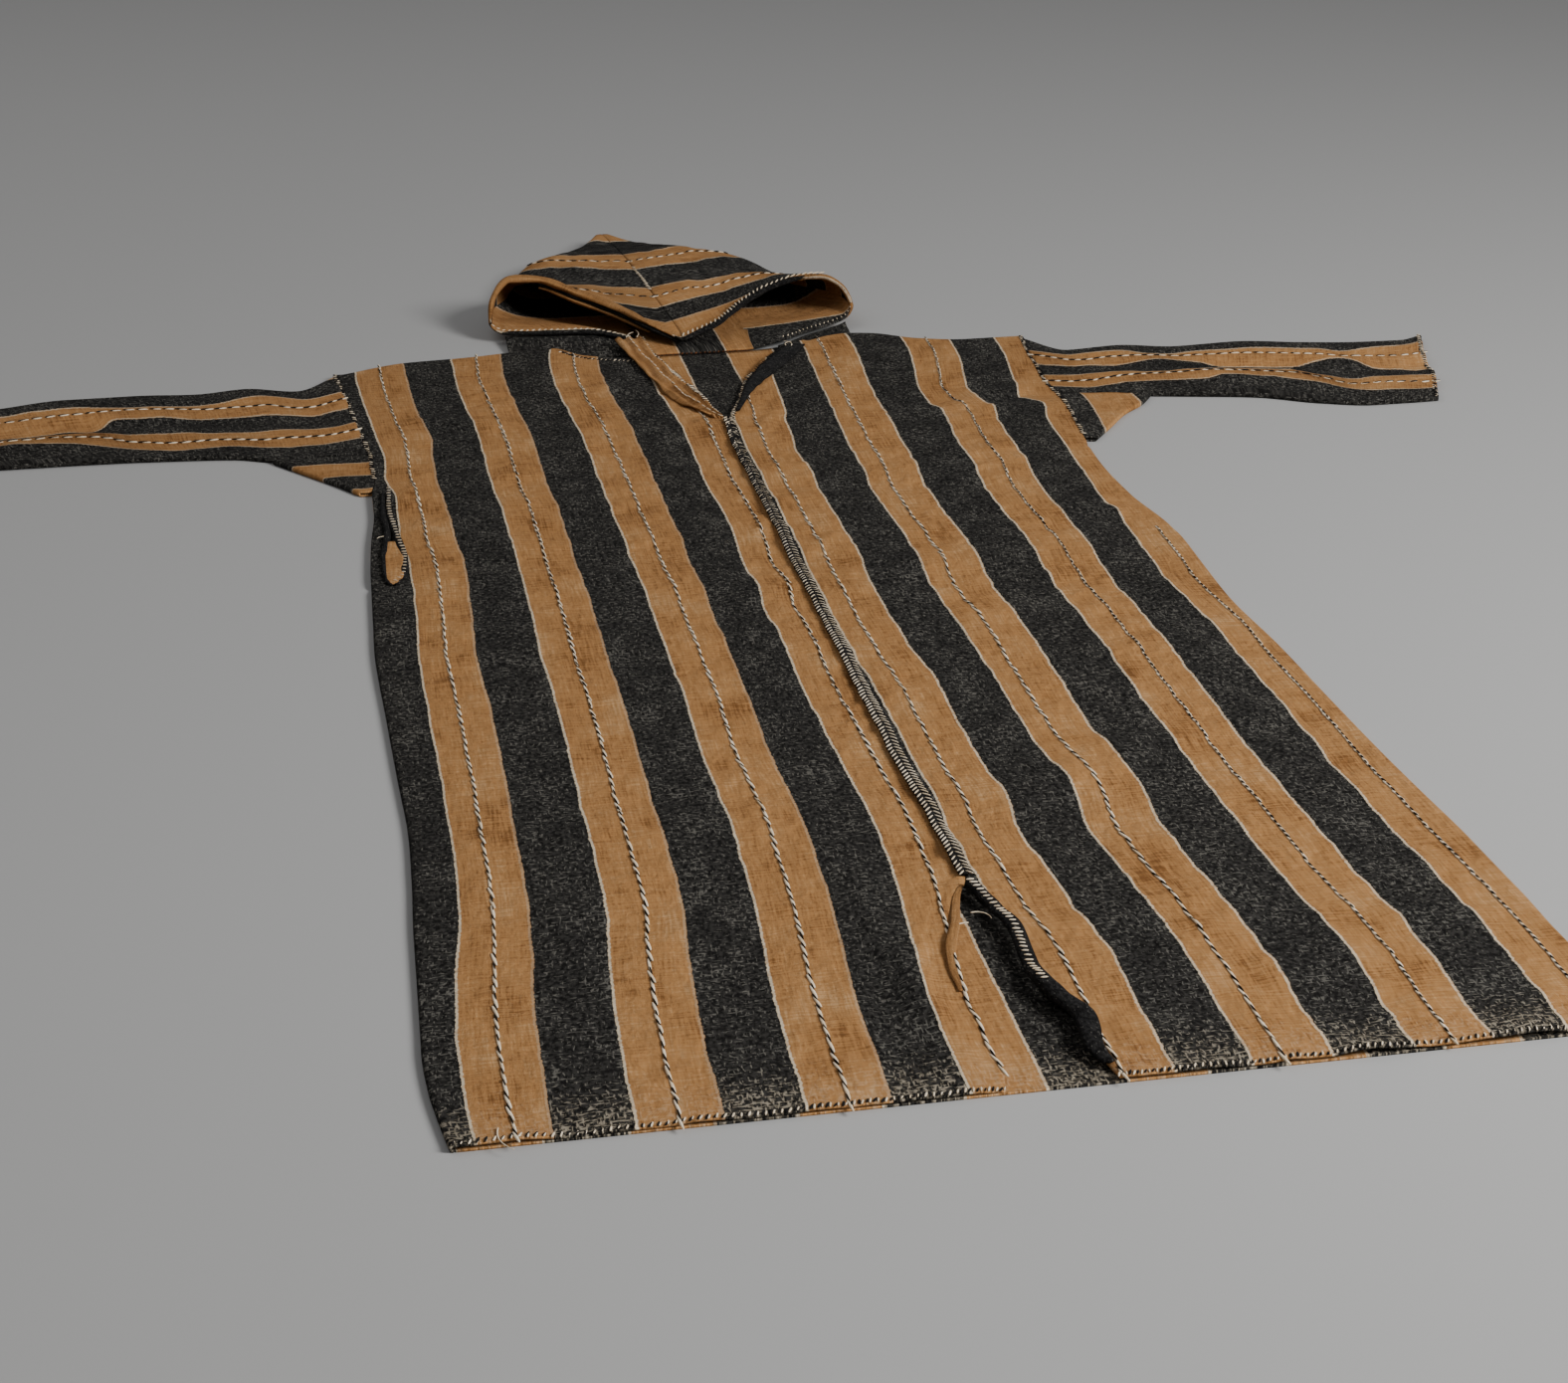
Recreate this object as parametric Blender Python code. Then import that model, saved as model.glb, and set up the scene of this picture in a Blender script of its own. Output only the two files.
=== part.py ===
"""A hooded djellaba robe of striped cloth, laid flat on its back. Metres, +Z up.

Plan used while modelling: +X across the robe, +Y from the hem to the hood, +Z up from the surface it lies on.
y = 0 is the hem and x = 0 the middle of the back.  At the end every piece is shifted so that the origin is the
middle of the robe's box, on the surface.  Each piece is one sheet of cloth, given its wall by Solidify.
"""

import math
from collections import namedtuple

import bpy
import bmesh
import numpy as np

# Driving dimensions
CLOTH = 0.0016  # wall of the woven cloth
SEAM_GAP = 0.0005  # air left between two pieces that are sewn together
ARMHOLE_GAP = 0.0013  # the same at the armholes, which curve
FOLD_RADIUS = 0.0025  # outer radius of a soft fold, so a folded edge is 5 mm high
EDGE_HEIGHT = 2 * FOLD_RADIUS
FOLD_REACH = math.pi * FOLD_RADIUS  # cloth that goes round a fold
FOLD_INSET = FOLD_RADIUS + 3 * SEAM_GAP  # how far the lower layer stops short of a folded edge
FOLD_START = 0.05  # tightness from which the lower layer keeps clear of a fold
NO_FOLD = 0.02  # below this tightness an edge is open
SHAPING_START = 0.80  # share of the way up the body where its top edge starts to take shape
BRAID_WIDTH = 0.011
BRAID_HEIGHT = 0.0032
STRIP_WIDTH = 0.027
BAND_WIDTH = 0.022

BROWN = (0.30, 0.15, 0.055)
BLACK = (0.022, 0.021, 0.020)
WEAVE_ROUGHNESS = 0.95

# The body, from the hem up: its two sides, the seam or slit edge of each front, and how tightly each side is
# folded (1 is a full fold, 0 an open edge: the pocket slit on the left, then both armholes).
BodyRow = namedtuple("BodyRow", "y left right left_front right_front left_fold right_fold")
BODY = [
    BodyRow(0.000, -0.350, 0.330, -0.0450, 0.0200, 1, 1),
    BodyRow(0.030, -0.354, 0.330, -0.0400, 0.0150, 1, 1),
    BodyRow(0.060, -0.357, 0.330, -0.0420, 0.0180, 1, 1),
    BodyRow(0.090, -0.358, 0.330, -0.0430, 0.0080, 1, 1),
    BodyRow(0.120, -0.357, 0.329, -0.0425, 0.0050, 1, 1),
    BodyRow(0.150, -0.356, 0.329, -0.0380, 0.0080, 1, 1),
    BodyRow(0.180, -0.355, 0.328, -0.0280, 0.0060, 1, 1),
    BodyRow(0.210, -0.354, 0.327, -0.0200, -0.0020, 1, 1),
    BodyRow(0.240, -0.353, 0.326, -0.0085, -0.0080, 1, 1),
    BodyRow(0.300, -0.350, 0.322, -0.0090, -0.0085, 1, 1),
    BodyRow(0.370, -0.348, 0.318, -0.0105, -0.0100, 1, 1),
    BodyRow(0.450, -0.350, 0.315, -0.0125, -0.0120, 1, 1),
    BodyRow(0.550, -0.352, 0.312, -0.0125, -0.0120, 1, 1),
    BodyRow(0.650, -0.354, 0.306, -0.0125, -0.0120, 1, 1),
    BodyRow(0.720, -0.352, 0.308, -0.0125, -0.0120, 1, 1),
    BodyRow(0.780, -0.350, 0.310, -0.0125, -0.0120, 1, 1),
    BodyRow(0.795, -0.3495, 0.309, -0.0125, -0.0120, 0.05, 1),
    BodyRow(0.810, -0.349, 0.308, -0.0125, -0.0120, 0, 1),
    BodyRow(0.880, -0.345, 0.298, -0.0125, -0.0120, 0, 1),
    BodyRow(0.950, -0.339, 0.295, -0.0125, -0.0120, 0, 1),
    BodyRow(1.000, -0.338, 0.297, -0.0125, -0.0120, 0, 1),
    BodyRow(1.015, -0.336, 0.298, -0.0125, -0.0120, 0, 0.05),
    BodyRow(1.030, -0.334, 0.299, -0.0125, -0.0120, 0, 0),
    BodyRow(1.080, -0.334, 0.304, -0.0120, -0.0115, 0, 0),
    BodyRow(1.130, -0.337, 0.308, -0.0095, -0.0065, 0, 0),
    BodyRow(1.180, -0.342, 0.306, -0.0200, 0.0100, 0, 0),
    BodyRow(1.230, -0.346, 0.310, -0.0290, 0.0250, 0, 0),
    BodyRow(1.280, -0.351, 0.314, -0.0370, 0.0480, 0, 0),
    BodyRow(1.330, -0.356, 0.320, -0.0450, 0.0780, 0, 0),
]
BODY_Y = [row.y for row in BODY]

# The top edge of each front, from the neck (share 0) to the armhole (share 1), and how tightly it folds there:
# the neckline is an open edge, and the shoulder folds over to the back.
TopRow = namedtuple("TopRow", "share left right left_fold right_fold")
FRONT_TOP = [
    TopRow(0.00, 1.318, 1.345, 0, 0),
    TopRow(0.12, 1.333, 1.358, 0, 0),
    TopRow(0.24, 1.350, 1.370, 0, 1),
    TopRow(0.32, 1.376, 1.374, 0, 1),
    TopRow(0.42, 1.374, 1.370, 1, 1),
    TopRow(0.60, 1.364, 1.345, 1, 1),
    TopRow(0.80, 1.358, 1.333, 1, 1),
    TopRow(1.00, 1.333, 1.333, 1, 1),
]

# The top edge of the back: shoulders and back neck.
BackTopRow = namedtuple("BackTopRow", "x y")
BACK_TOP = [
    BackTopRow(-0.350, 1.3270),
    BackTopRow(-0.287, 1.3520),
    BackTopRow(-0.150, 1.3680),
    BackTopRow(-0.095, 1.3560),
    BackTopRow(-0.050, 1.3430),
    BackTopRow(0.050, 1.3430),
    BackTopRow(0.095, 1.3520),
    BackTopRow(0.150, 1.3640),
    BackTopRow(0.178, 1.3610),
    BackTopRow(0.215, 1.3370),
    BackTopRow(0.262, 1.3270),
    BackTopRow(0.320, 1.3270),
]

# The largest swellings of the front: place, half-lengths along and across, turn from +Y, height.
Swell = namedtuple("Swell", "x y along across turn height")
SWELLS = [
    Swell(0.262, 1.165, 0.060, 0.014, -62, 0.0050),
    Swell(0.215, 1.010, 0.075, 0.022, -70, 0.0036),
    Swell(0.250, 0.865, 0.070, 0.024, -75, 0.0034),
    Swell(0.115, 0.385, 0.080, 0.028, -60, 0.0030),
    Swell(-0.262, 1.170, 0.065, 0.020, 70, 0.0036),
    Swell(-0.265, 0.875, 0.060, 0.024, 72, 0.0030),
    Swell(-0.130, 0.640, 0.120, 0.030, 80, 0.0026),
    Swell(-0.072, 0.130, 0.110, 0.012, 4, 0.0042),
    Swell(0.120, 0.760, 0.110, 0.028, -78, 0.0026),
    Swell(-0.180, 0.330, 0.130, 0.034, 76, 0.0026),
    Swell(0.205, 0.560, 0.110, 0.032, -80, 0.0024),
    Swell(0.180, 1.300, 0.050, 0.014, -20, 0.0030),
]
SWELL_FADE = 0.035  # swellings die out this near an edge
SWELL_TOP = 1.335  # and towards this height up the plan

# Sleeves, from the armhole out: near edge, far edge and highest point.
SleeveRow = namedtuple("SleeveRow", "reach low high crest")
SLEEVE_LEFT = [
    SleeveRow(0.000, 1.1010, 1.327, 0.0070),
    SleeveRow(0.035, 1.1012, 1.290, 0.0090),
    SleeveRow(0.075, 1.1020, 1.306, 0.0110),
    SleeveRow(0.115, 1.1170, 1.298, 0.0110),
    SleeveRow(0.165, 1.1230, 1.304, 0.0120),
    SleeveRow(0.220, 1.1270, 1.304, 0.0110),
    SleeveRow(0.275, 1.1280, 1.288, 0.0120),
    SleeveRow(0.320, 1.1280, 1.276, 0.0110),
    SleeveRow(0.345, 1.1270, 1.270, 0.0100),
]
SLEEVE_RIGHT = [
    SleeveRow(0.000, 1.1560, 1.326, 0.0070),
    SleeveRow(0.035, 1.1480, 1.280, 0.0090),
    SleeveRow(0.080, 1.1385, 1.286, 0.0110),
    SleeveRow(0.130, 1.1280, 1.272, 0.0120),
    SleeveRow(0.185, 1.1150, 1.276, 0.0110),
    SleeveRow(0.240, 1.0880, 1.262, 0.0120),
    SleeveRow(0.290, 1.0740, 1.252, 0.0120),
    SleeveRow(0.330, 1.0740, 1.250, 0.0110),
    SleeveRow(0.352, 1.0750, 1.262, 0.0100),
]
CUFF_SLANT = 0.050  # the far corner of the cuff reaches this much further than the near one

# Lengthwise folds of a sleeve's upper layer: place across it (0 near, 1 far), half-width, share of the crest.
SleeveFold = namedtuple("SleeveFold", "place width share")
SLEEVE_FOLDS = [
    SleeveFold(0.30, 0.11, 0.75),
    SleeveFold(0.62, 0.10, 1.00),
    SleeveFold(0.86, 0.07, 0.60),
]

# Underarm gussets, from the side seam up to the sleeve: y at the armhole, and the folded outer edge.
GussetRow = namedtuple("GussetRow", "armhole_y fold_x fold_y")
GUSSET_LEFT = [
    GussetRow(1.006, -0.3490, 1.005),
    GussetRow(1.030, -0.3660, 1.030),
    GussetRow(1.055, -0.3860, 1.056),
    GussetRow(1.078, -0.4030, 1.078),
    GussetRow(1.0995, -0.4200, 1.1000),
]
GUSSET_RIGHT = [
    GussetRow(1.028, 0.3110, 1.026),
    GussetRow(1.060, 0.3330, 1.056),
    GussetRow(1.095, 0.3580, 1.091),
    GussetRow(1.125, 0.3820, 1.115),
    GussetRow(1.1530, 0.3960, 1.1360),
]

# The hood's mouth: the free edge of each half, from the back of the neck round the open side loop to the point
# over the forehead, and how far across the hood (0 centre, 1 side) that line of cloth runs further back.
MouthRow = namedtuple("MouthRow", "x y z across upper")
MOUTH_LEFT = [
    MouthRow(-0.0003, 1.3440, 0.0021, 0.00, 0),
    MouthRow(-0.0450, 1.3440, 0.0021, 0.40, 0),
    MouthRow(-0.0660, 1.3780, 0.0080, 0.62, 0),
    MouthRow(-0.1050, 1.4050, 0.0100, 0.80, 0),
    MouthRow(-0.1500, 1.4080, 0.0105, 0.92, 0),
    MouthRow(-0.1850, 1.4120, 0.0110, 0.98, 0),
    MouthRow(-0.1985, 1.4200, 0.0190, 1.00, 0),
    MouthRow(-0.1950, 1.4350, 0.0360, 0.99, 1),
    MouthRow(-0.1750, 1.4560, 0.0530, 0.92, 1),
    MouthRow(-0.1450, 1.4620, 0.0500, 0.80, 1),
    MouthRow(-0.1080, 1.4440, 0.0390, 0.60, 1),
    MouthRow(-0.0750, 1.4220, 0.0300, 0.40, 1),
    MouthRow(-0.0430, 1.3860, 0.0210, 0.20, 1),
    MouthRow(-0.0149, 1.3560, 0.0130, 0.00, 1),
]
MOUTH_RIGHT = [
    MouthRow(0.0003, 1.3440, 0.0021, 0.00, 0),
    MouthRow(0.0450, 1.3440, 0.0021, 0.40, 0),
    MouthRow(0.0850, 1.3520, 0.0075, 0.66, 0),
    MouthRow(0.1120, 1.3720, 0.0080, 0.80, 0),
    MouthRow(0.1370, 1.3880, 0.0085, 0.92, 0),
    MouthRow(0.1570, 1.4000, 0.0110, 0.98, 0),
    MouthRow(0.1660, 1.4120, 0.0210, 1.00, 0),
    MouthRow(0.1610, 1.4240, 0.0340, 0.99, 1),
    MouthRow(0.1400, 1.4360, 0.0450, 0.92, 1),
    MouthRow(0.1120, 1.4420, 0.0420, 0.80, 1),
    MouthRow(0.0830, 1.4360, 0.0350, 0.60, 1),
    MouthRow(0.0530, 1.4150, 0.0270, 0.40, 1),
    MouthRow(0.0220, 1.3780, 0.0195, 0.20, 1),
    MouthRow(-0.0143, 1.3560, 0.0130, 0.00, 1),
]

# The hood behind its mouth, towards the point: centre seam, sides and the height of the upper layer.
HoodRow = namedtuple("HoodRow", "y centre left right crest")
HOOD = [
    HoodRow(1.345, -0.012, -0.175, 0.140, 0.026),
    HoodRow(1.420, -0.030, -0.200, 0.162, 0.032),
    HoodRow(1.470, -0.033, -0.190, 0.150, 0.034),
    HoodRow(1.510, -0.034, -0.177, 0.128, 0.032),
    HoodRow(1.550, -0.036, -0.167, 0.114, 0.030),
    HoodRow(1.600, -0.038, -0.154, 0.098, 0.028),
    HoodRow(1.640, -0.040, -0.136, 0.076, 0.025),
    HoodRow(1.665, -0.041, -0.107, 0.036, 0.023),
    HoodRow(1.690, -0.043, -0.082, 0.001, 0.021),
    HoodRow(1.715, -0.044, -0.068, -0.019, 0.019),
    HoodRow(1.745, -0.046, -0.056, -0.034, 0.016),
]
HOOD_Y = [row.y for row in HOOD]
HOOD_STATIONS = (0.0, 0.06, 0.14, 0.24, 0.36, 0.48, 0.60, 0.70, 0.78, 0.86, 0.93, 1.0)
HOOD_OVER_SHOULDER = 0.0065  # the hood's lower layer lies on the shoulders, then comes down behind them
HOOD_OVER_NECK = CLOTH + SEAM_GAP
NECK_HALF_WIDTH = 0.050  # the lower layer is low inside this, and over the shoulders outside the next
SHOULDER_START = 0.085
DROP_START = 0.003  # how far behind the shoulders it starts to come down, and is down
DROP_END = 0.020
MOUTH_REACH = 0.30  # share of the hood's length over which its mouth settles into the flat form
SIDE_FOLD_POWER = 12  # how tightly the side of the hood turns up from its lower layer
CROWN_POWER = 4  # how flat the upper layer's crown is

# The facing strip left of the neck opening: its free edge beside the opening, and its height past the neckline.
StripRow = namedtuple("StripRow", "y edge lift")
STRIP = [
    StripRow(1.136, -0.0120, 0.0),
    StripRow(1.165, -0.0175, 0.0),
    StripRow(1.200, -0.0240, 0.0),
    StripRow(1.240, -0.0310, 0.0),
    StripRow(1.280, -0.0380, 0.0),
    StripRow(1.315, -0.0440, 0.0005),
    StripRow(1.345, -0.0500, 0.0030),
    StripRow(1.371, -0.0540, 0.0050),
]
STRIP_FOOT = 0.30  # the strip starts this share of its full width
STRIP_TAPER_START = 1.10
STRIP_TAPER_END = 1.20

# The dark band right of the neck opening: its edge beside the opening.
BandRow = namedtuple("BandRow", "y edge width")
BAND = [
    BandRow(1.150, 0.0020, 0.20),
    BandRow(1.190, 0.0140, 0.35),
    BandRow(1.230, 0.0260, 0.65),
    BandRow(1.270, 0.0440, 0.95),
    BandRow(1.305, 0.0640, 1.00),
    BandRow(1.338, 0.0840, 0.90),
]

# The rolled selvedge on the right of the hem slit: left side, width and height of the roll.
RollRow = namedtuple("RollRow", "y left width height")
ROLL = [
    RollRow(0.012, 0.0120, 0.010, 0.004),
    RollRow(0.030, 0.0060, 0.015, 0.007),
    RollRow(0.055, 0.0080, 0.018, 0.009),
    RollRow(0.080, 0.0010, 0.016, 0.009),
    RollRow(0.105, -0.0040, 0.014, 0.008),
    RollRow(0.130, -0.0040, 0.013, 0.007),
    RollRow(0.160, -0.0020, 0.013, 0.007),
    RollRow(0.190, -0.0060, 0.012, 0.006),
    RollRow(0.225, -0.0130, 0.010, 0.005),
]
BRAID_START = 0.238
BRAID_END = 1.126
BRAID_STEPS = 24

# How finely each piece is divided
PANEL_COLUMNS = 12
BACK_COLUMNS = 24
FOLD_STEPS = 4
SLEEVE_LOWER = 6
SLEEVE_UPPER = 11
ROUND_STEPS = 8
TRIM_COLUMNS = 3


def between(rows, column, place, key="y"):
    """Value of a table's column at a place, read in a straight line between rows."""
    places = [getattr(row, key) for row in rows]
    values = [getattr(row, column) for row in rows]
    return float(np.interp(place, places, values))


def smooth_step(low, high, value):
    """0 below low, 1 above high, and a soft step between."""
    share = min(1.0, max(0.0, (value - low) / (high - low)))
    return share * share * (3 - 2 * share)


def fold_extent(tightness):
    """How far cloth that goes round a fold reaches past the fold's start."""
    if tightness < NO_FOLD:
        return FOLD_REACH
    radius = FOLD_RADIUS / tightness
    return radius * math.sin(min(math.pi * tightness, math.pi / 2))


def fold_over(distance, tightness):
    """Reach and drop of a point that lies a distance past the fold's start."""
    if distance <= 0 or tightness < NO_FOLD:
        return distance, 0.0
    radius = FOLD_RADIUS / tightness
    angle = distance / radius
    return radius * math.sin(angle), min(EDGE_HEIGHT, radius * (1 - math.cos(angle)))


def swelling(x, y):
    """Height that the front's folds add at a place."""
    height = 0.0
    for fold in SWELLS:
        turn = math.radians(fold.turn)
        east, north = x - fold.x, y - fold.y
        along = north * math.cos(turn) - east * math.sin(turn)
        across = north * math.sin(turn) + east * math.cos(turn)
        height += fold.height * math.exp(-((along / fold.along) ** 2) - (across / fold.across) ** 2)
    left = x - between(BODY, "left", y)
    right = between(BODY, "right", y) - x
    fade = smooth_step(0.0, SWELL_FADE, min(left, right, y + SWELL_FADE / 2, SWELL_TOP - y))
    return height * fade


def front_height(x, y):
    """Height of the front's upper face at a place."""
    return EDGE_HEIGHT + swelling(x, y)


def sheet_object(name, rows, colour, closed=False, flip=False):
    """One piece of cloth from rows of points on its outer face, with its wall inside them."""
    mesh = bpy.data.meshes.new(name)
    columns = len(rows[0])
    points = [point for row in rows for point in row]
    faces = []
    for i in range(len(rows) - 1):
        for j in range(columns if closed else columns - 1):
            k = (j + 1) % columns
            face = [i * columns + j, i * columns + k, (i + 1) * columns + k, (i + 1) * columns + j]
            faces.append(face[::-1] if flip else face)
    mesh.from_pydata(points, [], faces)
    piece = add_object(name, mesh, colour)
    wall = piece.modifiers.new("cloth wall", "SOLIDIFY")
    wall.thickness = CLOTH
    wall.offset = -1.0
    return piece


def bar_object(name, rings, colour):
    """A closed bar through rings of points, capped at both ends."""
    build = bmesh.new()
    loops = [[build.verts.new(point) for point in ring] for ring in rings]
    count = len(loops[0])
    for first, second in zip(loops, loops[1:]):
        for j in range(count):
            k = (j + 1) % count
            build.faces.new([first[j], first[k], second[k], second[j]])
    build.faces.new(loops[0][::-1])
    build.faces.new(loops[-1])
    bmesh.ops.recalc_face_normals(build, faces=build.faces)
    mesh = bpy.data.meshes.new(name)
    build.to_mesh(mesh)
    build.free()
    return add_object(name, mesh, colour)


def add_object(name, mesh, colour):
    """Links an object for a mesh and gives it a woollen cloth material of its own."""
    mesh.shade_smooth()
    material = bpy.data.materials.new(name + "_cloth")
    material.use_nodes = True
    shader = material.node_tree.nodes["Principled BSDF"]
    shader.inputs["Base Color"].default_value = (*colour, 1.0)
    shader.inputs["Roughness"].default_value = WEAVE_ROUGHNESS
    shader.inputs["Metallic"].default_value = 0.0
    mesh.materials.append(material)
    piece = bpy.data.objects.new(name, mesh)
    bpy.context.scene.collection.objects.link(piece)
    return piece


def front_panel(side):
    """A front: flat from its centre edge to the side, then round the side fold and the shoulder fold."""
    name = "left" if side < 0 else "right"
    shares = [j / PANEL_COLUMNS for j in range(PANEL_COLUMNS + 1)]
    reaches = [FOLD_REACH * j / FOLD_STEPS for j in range(1, FOLD_STEPS + 1)]
    columns = [(share, 0.0) for share in shares] + [(1.0, reach) for reach in reaches]
    body_top = BODY_Y[-1]
    rows = []
    steps = [(y / body_top, 0.0) for y in BODY_Y] + [(1.0, reach) for reach in reaches]
    for climb, over in steps:
        row = []
        for share, past in columns:
            top_fold = between(FRONT_TOP, name + "_fold", share, "share")
            top = between(FRONT_TOP, name, share, "share") - fold_extent(top_fold)
            level = climb * body_top
            stretch = smooth_step(SHAPING_START, 1.0, climb)
            y = level + (top - body_top) * stretch
            side_fold = between(BODY, name + "_fold", level)
            fold_line = between(BODY, name, level) - side * fold_extent(side_fold)
            inner = between(BODY, name + "_front", level)
            x = inner + share * (fold_line - inner)
            past_x, drop_x = fold_over(past, side_fold)
            past_y, drop_y = fold_over(over, top_fold)
            height = front_height(x, y) if share < 1.0 and not over else EDGE_HEIGHT
            row.append((x + side * past_x, y + past_y, height - drop_x - drop_y))
        rows.append(row)
    return sheet_object(f"front_{name}_panel", rows, BROWN, flip=side < 0)


def back_panel():
    """The back: one flat sheet on the surface, inside the fronts' side and shoulder folds."""
    rows = []
    body_top = BODY_Y[-1]
    for row_y in BODY_Y:
        left_inset = FOLD_INSET * smooth_step(0.0, FOLD_START, between(BODY, "left_fold", row_y))
        right_inset = FOLD_INSET * smooth_step(0.0, FOLD_START, between(BODY, "right_fold", row_y))
        left = between(BODY, "left", row_y) + left_inset
        right = between(BODY, "right", row_y) - right_inset
        row = []
        for j in range(BACK_COLUMNS + 1):
            x = left + (right - left) * j / BACK_COLUMNS
            rise = between(BACK_TOP, "y", x, "x") - body_top
            row.append((x, row_y + rise * smooth_step(SHAPING_START, 1.0, row_y / body_top), 0.0))
        rows.append(row)
    return sheet_object("back_panel", rows, BLACK, flip=True)


def sleeve_profile(share, crest):
    """Height of a sleeve's upper layer at a share of the way across it."""
    lift = sum(fold.share * math.exp(-(((share - fold.place) / fold.width) ** 2)) for fold in SLEEVE_FOLDS)
    return EDGE_HEIGHT + (crest - EDGE_HEIGHT) * min(1.0, lift) * math.sqrt(math.sin(math.pi * share))


def sleeve(side, table):
    """A flattened tube from the armhole to the cuff, open at both ends."""
    name = "left" if side < 0 else "right"
    rows = []
    full_reach = table[-1].reach
    for row in table:
        width = row.high - row.low - EDGE_HEIGHT
        ring = [(row.low + FOLD_RADIUS + width * j / SLEEVE_LOWER, 0.0) for j in range(SLEEVE_LOWER + 1)]
        for j in range(1, FOLD_STEPS):
            angle = math.pi * j / FOLD_STEPS
            y = row.high - FOLD_RADIUS * (1 - math.sin(angle))
            ring.append((y, FOLD_RADIUS * (1 - math.cos(angle))))
        for j in range(SLEEVE_UPPER + 1):
            share = 1 - j / SLEEVE_UPPER
            ring.append((row.low + FOLD_RADIUS + width * share, sleeve_profile(share, row.crest)))
        for j in range(1, FOLD_STEPS):
            angle = math.pi * j / FOLD_STEPS
            y = row.low + FOLD_RADIUS * (1 - math.sin(angle))
            ring.append((y, FOLD_RADIUS * (1 + math.cos(angle))))
        points = []
        for y, z in ring:
            across = (y - row.low) / (row.high - row.low)
            root = between(BODY, name, y) + side * ARMHOLE_GAP
            slant = CUFF_SLANT * across * row.reach / full_reach
            points.append((root + side * (row.reach + slant), y, z))
        rows.append(points)
    return sheet_object(f"sleeve_{name}", rows, BLACK, closed=True, flip=side < 0)


def gusset(side, table):
    """A folded underarm gusset: lower layer, outer fold, upper layer."""
    name = "left" if side < 0 else "right"
    rows = []
    for row in table:
        inner_x = between(BODY, name, row.armhole_y) + side * SEAM_GAP
        fold_x = row.fold_x - side * FOLD_RADIUS
        section = [(inner_x, row.armhole_y, 0.0), ((inner_x + fold_x) / 2, (row.armhole_y + row.fold_y) / 2, 0.0)]
        for j in range(FOLD_STEPS + 1):
            angle = math.pi * j / FOLD_STEPS
            x = fold_x + side * FOLD_RADIUS * math.sin(angle)
            section.append((x, row.fold_y, FOLD_RADIUS * (1 - math.cos(angle))))
        section.append(((inner_x + fold_x) / 2, (row.armhole_y + row.fold_y) / 2, EDGE_HEIGHT))
        section.append((inner_x, row.armhole_y, EDGE_HEIGHT))
        rows.append(section)
    return sheet_object(f"gusset_{name}", rows, BROWN, flip=side > 0)


def hood_lower(x, y):
    """Height of the hood's lower layer: over the neck and shoulders, then down to the surface."""
    over_shoulder = smooth_step(NECK_HALF_WIDTH, SHOULDER_START, abs(x))
    lift = HOOD_OVER_NECK + (HOOD_OVER_SHOULDER - HOOD_OVER_NECK) * over_shoulder
    edge = between(BACK_TOP, "y", x, "x") + FOLD_INSET
    return lift * (1 - smooth_step(edge + DROP_START, edge + DROP_END, y))


def hood_half(side, mouth):
    """Half of the hood, from the back seam through its lower layer, side fold and upper layer to the top seam."""
    name = "left" if side < 0 else "right"
    tip_y = HOOD_Y[-1]
    rows = []
    for station in HOOD_STATIONS:
        settled = smooth_step(0.0, MOUTH_REACH, station)
        row = []
        for edge in mouth:
            y = edge.y + (tip_y - edge.y) * station
            centre = between(HOOD, "centre", y) + side * SEAM_GAP
            outer = between(HOOD, name, y)
            crest = between(HOOD, "crest", y)
            flat_x = centre + edge.across * (outer - centre)
            if edge.upper:
                flat_z = crest / 2 * math.sqrt(1 - edge.across**CROWN_POWER) + crest / 2
            else:
                flat_z = hood_lower(flat_x, y) + crest / 2 * edge.across**SIDE_FOLD_POWER
            x = edge.x + (flat_x - edge.x) * settled
            z = edge.z + (flat_z - edge.z) * settled
            if not edge.upper:
                z = max(z, hood_lower(x, y))
            row.append((x, y, z))
        rows.append(row)
    return sheet_object(f"hood_{name}", rows, BLACK, flip=side > 0)


def placket_strip():
    """The facing strip turned over onto the left front beside the neck opening, and on up to the hood."""
    rows = []
    for row in STRIP:
        width = STRIP_WIDTH * max(STRIP_FOOT, smooth_step(STRIP_TAPER_START, STRIP_TAPER_END, row.y))
        section = []
        for j in range(TRIM_COLUMNS + 1):
            x = row.edge - width * (1 - j / TRIM_COLUMNS)
            section.append((x, row.y, front_height(x, row.y) + SEAM_GAP + CLOTH + row.lift))
        rows.append(section)
    return sheet_object("placket_strip", rows, BROWN)


def neck_band():
    """The dark band on the right front beside the neck opening."""
    rows = []
    for row in BAND:
        section = []
        for j in range(TRIM_COLUMNS + 1):
            x = row.edge + BAND_WIDTH * row.width * j / TRIM_COLUMNS
            section.append((x, row.y, front_height(x, row.y) + SEAM_GAP + CLOTH))
        rows.append(section)
    return sheet_object("neck_band_right", rows, BLACK)


def flat_ring(left, y, bottom, width, height):
    """A ring of points of a flattened round bar that lies along Y."""
    ring = []
    for j in range(ROUND_STEPS):
        angle = 2 * math.pi * j / ROUND_STEPS
        x = left + width / 2 * (1 + math.cos(angle))
        ring.append((x, y, bottom + height / 2 * (1 + math.sin(angle))))
    return ring


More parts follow.
